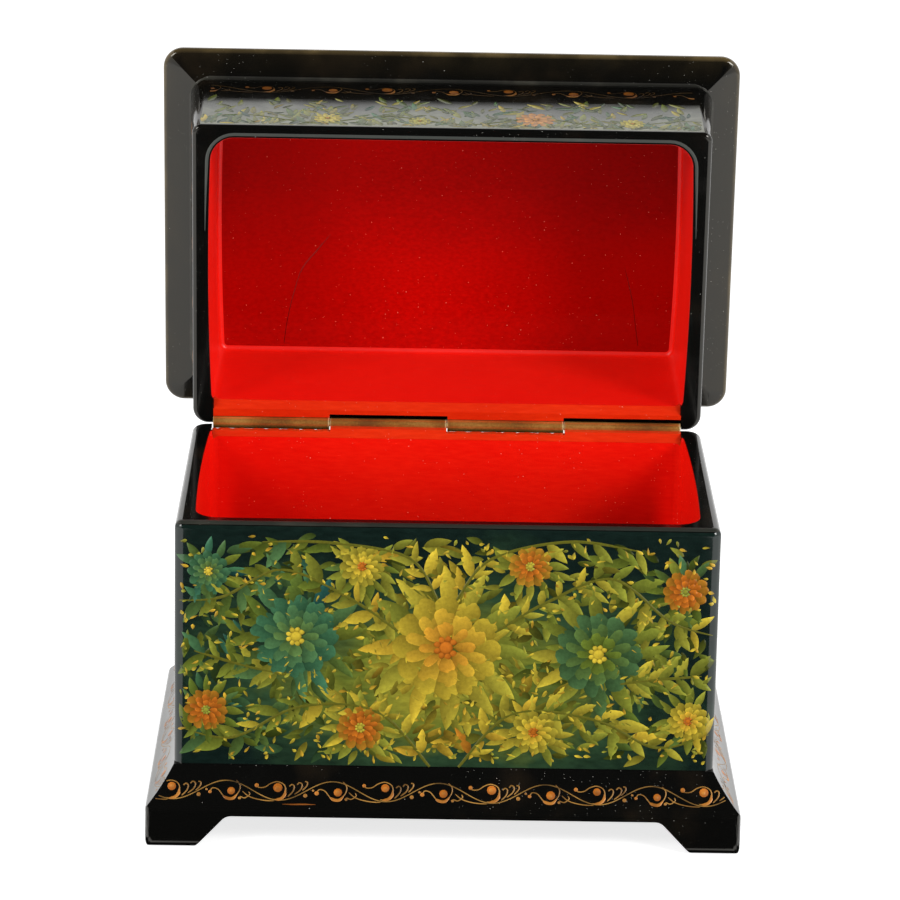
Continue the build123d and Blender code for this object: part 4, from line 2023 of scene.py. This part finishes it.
@dataclass
class LidOrnament:
    """A leafy garland along the lid's front and a gold scroll under its cornice on all sides."""

    finishes: Finishes
    brush: Brush
    upright: float = 4.0
    cornice_t: float = 4.0
    garland_top: float = 20.0
    ground_low: float = 1.1
    ground_top: float = 19.0
    vine_below_crease: float = 6.6
    ground_lift: float = 0.008
    ground_inset: float = 1.7
    corner_gap: float = 2.6
    taper: float = 0.3
    garland_inset: float = 2.0
    leaf_count: int = 420
    leaf_low: float = 1.8
    tip_low: float = 1.6
    tip_over: float = 1.5
    petal_rings: tuple = ((11, 0.3, 0.7, 0.8), (8, 0.12, 0.5, 1.1))
    blossoms: tuple = ((18, 7.5, 4.4, 0.96), (-27, 6.5, 3.2, 0.74), (39, 6, 2.8, 0.7), (-7, 5.5, 2.6, 0.66))

    def __post_init__(self) -> None:
        """Read the lid's place off its wall and cornice."""
        low, high = shut_box("lid_wall")
        self.rim = low.z
        self.crease = high.z - self.cornice_t - low.z
        self.pose = opened_lid()
        self.random = np.random.default_rng(23)
        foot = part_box("body_wall")[1]
        self.half_w = foot.x / MM - self.taper
        self.half_d = foot.y / MM - self.taper
        self.flare = high.x - self.half_w

    def face(self, side: Side) -> Wrap:
        """Give one outer face of the lid.

        Args:
            side: The side.

        Returns:
            The face, with its zero at the rim.
        """
        rise = np.linspace(0, self.crease, 60)
        share = ((rise - self.upright) / (self.crease - self.upright)).clip(0)
        flare = 0.0 if side is Side.BACK else self.flare
        section = np.column_stack([flare * share, self.rim + rise])
        reach = self.half_d if side in (Side.FRONT, Side.BACK) else self.half_w
        return Wrap(side, reach, section, pose=self.pose)

    def ground(self) -> None:
        """Lay the thin pale ground along the front's rim."""
        half = self.half_w - self.ground_inset
        face = self.face(Side.FRONT)
        start = face.place(np.array([(0.0, self.ground_low, 0.0)]))[0]
        reach = (self.ground_top - self.ground_low) * MM
        finish = PictureGround(
            "lid_ground",
            tuple(start),
            (0.0, 0.85 / reach, 0.0),
            ((0.1, tint(122, 124, 104)), (0.55, tint(92, 93, 86)), (0.85, tint(12, 13, 11))),
        )
        rows = np.linspace(self.ground_low, self.ground_top, 18)
        across = np.linspace(-half, half, 40)
        piece = thin_skin("lid_ground", face, across, rows, self.ground_lift, finish.material())
        settle(piece, Body.LID)

    def garland(self) -> None:
        """Draw the garland on the lid's front."""
        leaves, petals, dots, stems = Strokes(), Strokes(), Strokes(), Lines()
        rnd = self.random
        half = self.half_w - self.garland_inset
        stem = np.column_stack([np.linspace(-half, half, 120), 6 + 2.2 * np.sin(np.linspace(0, 21, 120))])
        stems.add(stem, 0.6, (0.4, 0.4), 0.55, 0.8)
        for _ in range(self.leaf_count):
            u = rnd.uniform(-half, half)
            v = self.leaf_low + (self.garland_top - 4) * rnd.uniform(0, 1) ** 2.4
            angle = math.pi / 2 + rnd.normal(0, 0.75)
            size = rnd.uniform(2.6, 5.6)
            tip_u, tip_v = ray((u, v), angle, size)
            if abs(tip_u) < half and self.tip_low < tip_v < self.garland_top + self.tip_over:
                hue = float(np.clip(rnd.normal(0.5, 0.16), 0.1, 0.84))
                tone, bend = rnd.uniform(0.3, 0.9), rnd.uniform(-0.3, 0.3)
                leaves.add((u, v), angle, size, size * 0.3, bend, hue, tone, rnd.uniform(0, 0.03))
        for u, v, radius, hue in self.blossoms:
            for ring, (count, start, length, tone) in enumerate(self.petal_rings):
                lift = 0.04 + 0.015 * ring
                for k in range(count):
                    angle = math.tau * (k + 0.5 * ring) / count
                    root = ray((u, v), angle, start * radius)
                    petals.add(root, angle, length * radius, 0.42 * radius, 0.05, hue, tone, lift)
            dots.add((u, v), 0.0, 0.3 * radius, 0.3 * radius, 0.0, 0.95, 0.9, 0.08)
        paint, face = self.finishes.paint, self.face(Side.FRONT)
        for piece in (
            self.brush.draw_strokes("garland_leaves", leaves, Blank.LEAF, face, paint),
            self.brush.draw_strokes("garland_petals", petals, Blank.PETAL, face, paint),
            self.brush.draw_strokes("garland_dots", dots, Blank.DOT, face, paint),
            self.brush.draw_lines("garland_stem", stems, face, paint),
        ):
            settle(piece, Body.LID)

    def scroll(self) -> None:
        """Draw the gold scroll below the crease."""
        scroll = GoldScroll(self.finishes, self.brush)
        vine = GoldVine(26.6, 2.1, self.crease - self.vine_below_crease, 2.5, shine=0.2, glow=0.5)
        for side in Side:
            reach = self.half_w if side in (Side.FRONT, Side.BACK) else self.half_d

            def inside(u: float, v: float, reach: float = reach) -> bool:
                """Say whether a point keeps clear of the corners."""
                return abs(u) < reach - self.corner_gap

            lines, dots = Lines(), Strokes()
            vine.draw(lines, dots, -1.2 * reach, inside, reach)
            scroll.lay(side.name.lower(), lines, dots, self.face(side))
        scroll.end("lid_vine", Body.LID)

    def build(self) -> None:
        """Draw the lid's brushwork."""
        self.ground()
        self.garland()
        self.scroll()


# Studio

@dataclass(frozen=True)
class Lamp:
    """A soft box that looks at the casket."""

    name: str
    spot: tuple[float, float, float]
    aim: tuple[float, float, float]
    width: float
    height: float
    watts: float
    mirrored: bool = True

    def build(self) -> None:
        """Hang the lamp."""
        light = bpy.data.lights.new(self.name, "AREA")
        light.shape = "RECTANGLE"
        light.size, light.size_y, light.energy = self.width, self.height, self.watts
        holder = bpy.data.objects.new(self.name, light)
        bpy.context.scene.collection.objects.link(holder)
        holder.visible_glossy = self.mirrored
        holder.location = self.spot
        holder.rotation_euler = (Vector(self.aim) - Vector(self.spot)).to_track_quat("-Z", "Y").to_euler()


@dataclass
class Studio:
    """Pale floor, soft boxes, dark cards for the lacquer to mirror, and the camera."""

    lens: float = 158.3
    sensor: float = 36.0
    elevation: float = 18.0
    yaw: float = 0.65
    roll: float = 1.1
    target: tuple[float, float, float] = (0.00041, 0.0, 0.07496)
    distance: float = 0.83965
    floor_size: float = 4.0
    floor_drop: float = 0.00003
    floor_glow: float = 0.76
    room_light: float = 0.55
    lamps: tuple = (
        Lamp("soft_box_left", (-0.84, -0.81, 0.80), (0, 0.02, 0.08), 0.40, 0.40, 5.2),
        Lamp("soft_box_right", (0.84, -0.81, 0.80), (0, 0.02, 0.08), 0.40, 0.40, 8.8),
        Lamp("fill_left", (-1.15, -0.36, 0.26), (0, 0.02, 0.09), 0.40, 0.40, 4.0, False),
        Lamp("fill_right", (1.15, -0.36, 0.26), (0, 0.02, 0.09), 0.40, 0.40, 4.2, False),
    )
    cards: tuple = (
        (
            "card_floor",
            ((-0.22, -1.5, 4e-4), (0.22, -1.5, 4e-4), (0.076, -0.0424, 4e-4), (-0.076, -0.0424, 4e-4)),
        ),
        # A dark card under the feet paints the contact shadow that the lacquer mirrors.
        (
            "card_under",
            ((-0.066, -0.0412, 5e-5), (0.066, -0.0412, 5e-5), (0.066, 0.042, 5e-5), (-0.066, 0.042, 5e-5)),
        ),
        ("card_above", ((-1.2, -1.4, 1.6), (1.2, -1.4, 1.6), (1.2, 1.5, 1.5), (-1.2, 1.5, 1.5))),
        ("card_behind", ((-0.6, -1.5, 0.0), (0.6, -1.5, 0.0), (1.2, -1.4, 1.6), (-1.2, -1.4, 1.6))),
    )

    def sheet_of(self, name: str, corners: Sequence[Sequence[float]], paper: ShaderSheet) -> Piece:
        """Lay one flat sheet of the studio.

        Args:
            name: Name of the sheet.
            corners: Its corners in metres.
            paper: Its material.

        Returns:
            The sheet.
        """
        mesh = bpy.data.meshes.new(name)
        mesh.from_pydata(corners, [], [(0, 1, 2, 3)])
        mesh.materials.append(paper.material)
        return add_piece(name, mesh)

    def card(self, name: str, corners: Sequence[Sequence[float]]) -> None:
        """Stand a dark card that only the gloss sees.

        Args:
            name: Name of the card.
            corners: Its corners in metres.
        """
        paper = ShaderSheet(f"{name}_paper")
        paper.dress(Base_Color=tint(10, 10, 12), Roughness=1.0, Specular_IOR_Level=0.0)
        card = self.sheet_of(name, corners, paper)
        card.visible_camera = card.visible_diffuse = card.visible_shadow = card.visible_transmission = False

    def floor(self) -> None:
        """Lay the pale floor, which is white to the eye and keeps the shadow."""
        half, low = self.floor_size / 2, -self.floor_drop
        paper = ShaderSheet("pale_floor")
        paper.dress(
            Base_Color=tint(206, 206, 206),
            Roughness=0.9,
            Specular_IOR_Level=0.0,
            Emission_Color=(1, 1, 1, 1),
            Emission_Strength=paper.product(paper.seen_share(), self.floor_glow),
        )
        corners = ((-half, -half, low), (half, -half, low), (half, half, low), (-half, half, low))
        self.sheet_of("floor", corners, paper)

    def world(self) -> None:
        """Fill the room with soft light that is white to the eye."""
        world = bpy.data.worlds.new("studio")
        world.use_nodes = True
        bpy.context.scene.world = world
        sheet = Sheet(world.node_tree)
        back = sheet.tree.nodes["Background"]
        back.inputs["Color"].default_value = (1, 1, 1, 1)
        feeds = {0: sheet.seen_share(), "To Min": self.room_light, "To Max": 1.0}
        sheet.feed(back.inputs["Strength"], sheet.put("ShaderNodeMapRange", feeds)[0])

    def camera(self) -> None:
        """Set the camera as it stood for the photograph."""
        rise, turn, tip = (math.radians(a) for a in (self.elevation, self.yaw, self.roll))
        look = Vector((math.sin(turn) * math.cos(rise), math.cos(turn) * math.cos(rise), -math.sin(rise)))
        right = Vector((math.cos(turn), -math.sin(turn), 0))
        up = right.cross(look)
        across = math.cos(tip) * right + math.sin(tip) * up
        above = math.cos(tip) * up - math.sin(tip) * right
        eye = Vector(self.target) - look * self.distance
        data = bpy.data.cameras.new("camera")
        data.lens, data.sensor_width, data.sensor_fit = self.lens, self.sensor, "HORIZONTAL"
        data.clip_start, data.clip_end = 0.01, 20.0
        holder = bpy.data.objects.new("camera", data)
        bpy.context.scene.collection.objects.link(holder)
        holder.matrix_world = Matrix.Translation(eye) @ Matrix((across, above, -look)).transposed().to_4x4()
        bpy.context.scene.camera = holder

    def build(self) -> None:
        """Set up the studio."""
        self.floor()
        self.world()
        for lamp in self.lamps:
            lamp.build()
        for name, corners in self.cards:
            self.card(name, corners)
        self.camera()


def main() -> None:
    """Build the casket's looks."""
    logging.basicConfig(level=logging.INFO, format="%(name)s: %(message)s")
    bpy.context.scene.view_settings.view_transform = "Standard"
    finishes, brush = Finishes(), Brush()
    for part in (
        Shell(finishes),
        CreaseBead(finishes),
        RedLining(finishes, brush),
        FlowerPicture(finishes, brush),
        PlinthOrnament(finishes, brush),
        LidOrnament(finishes, brush),
        Studio(),
    ):
        part.build()


if __name__ == "__main__":
    main()
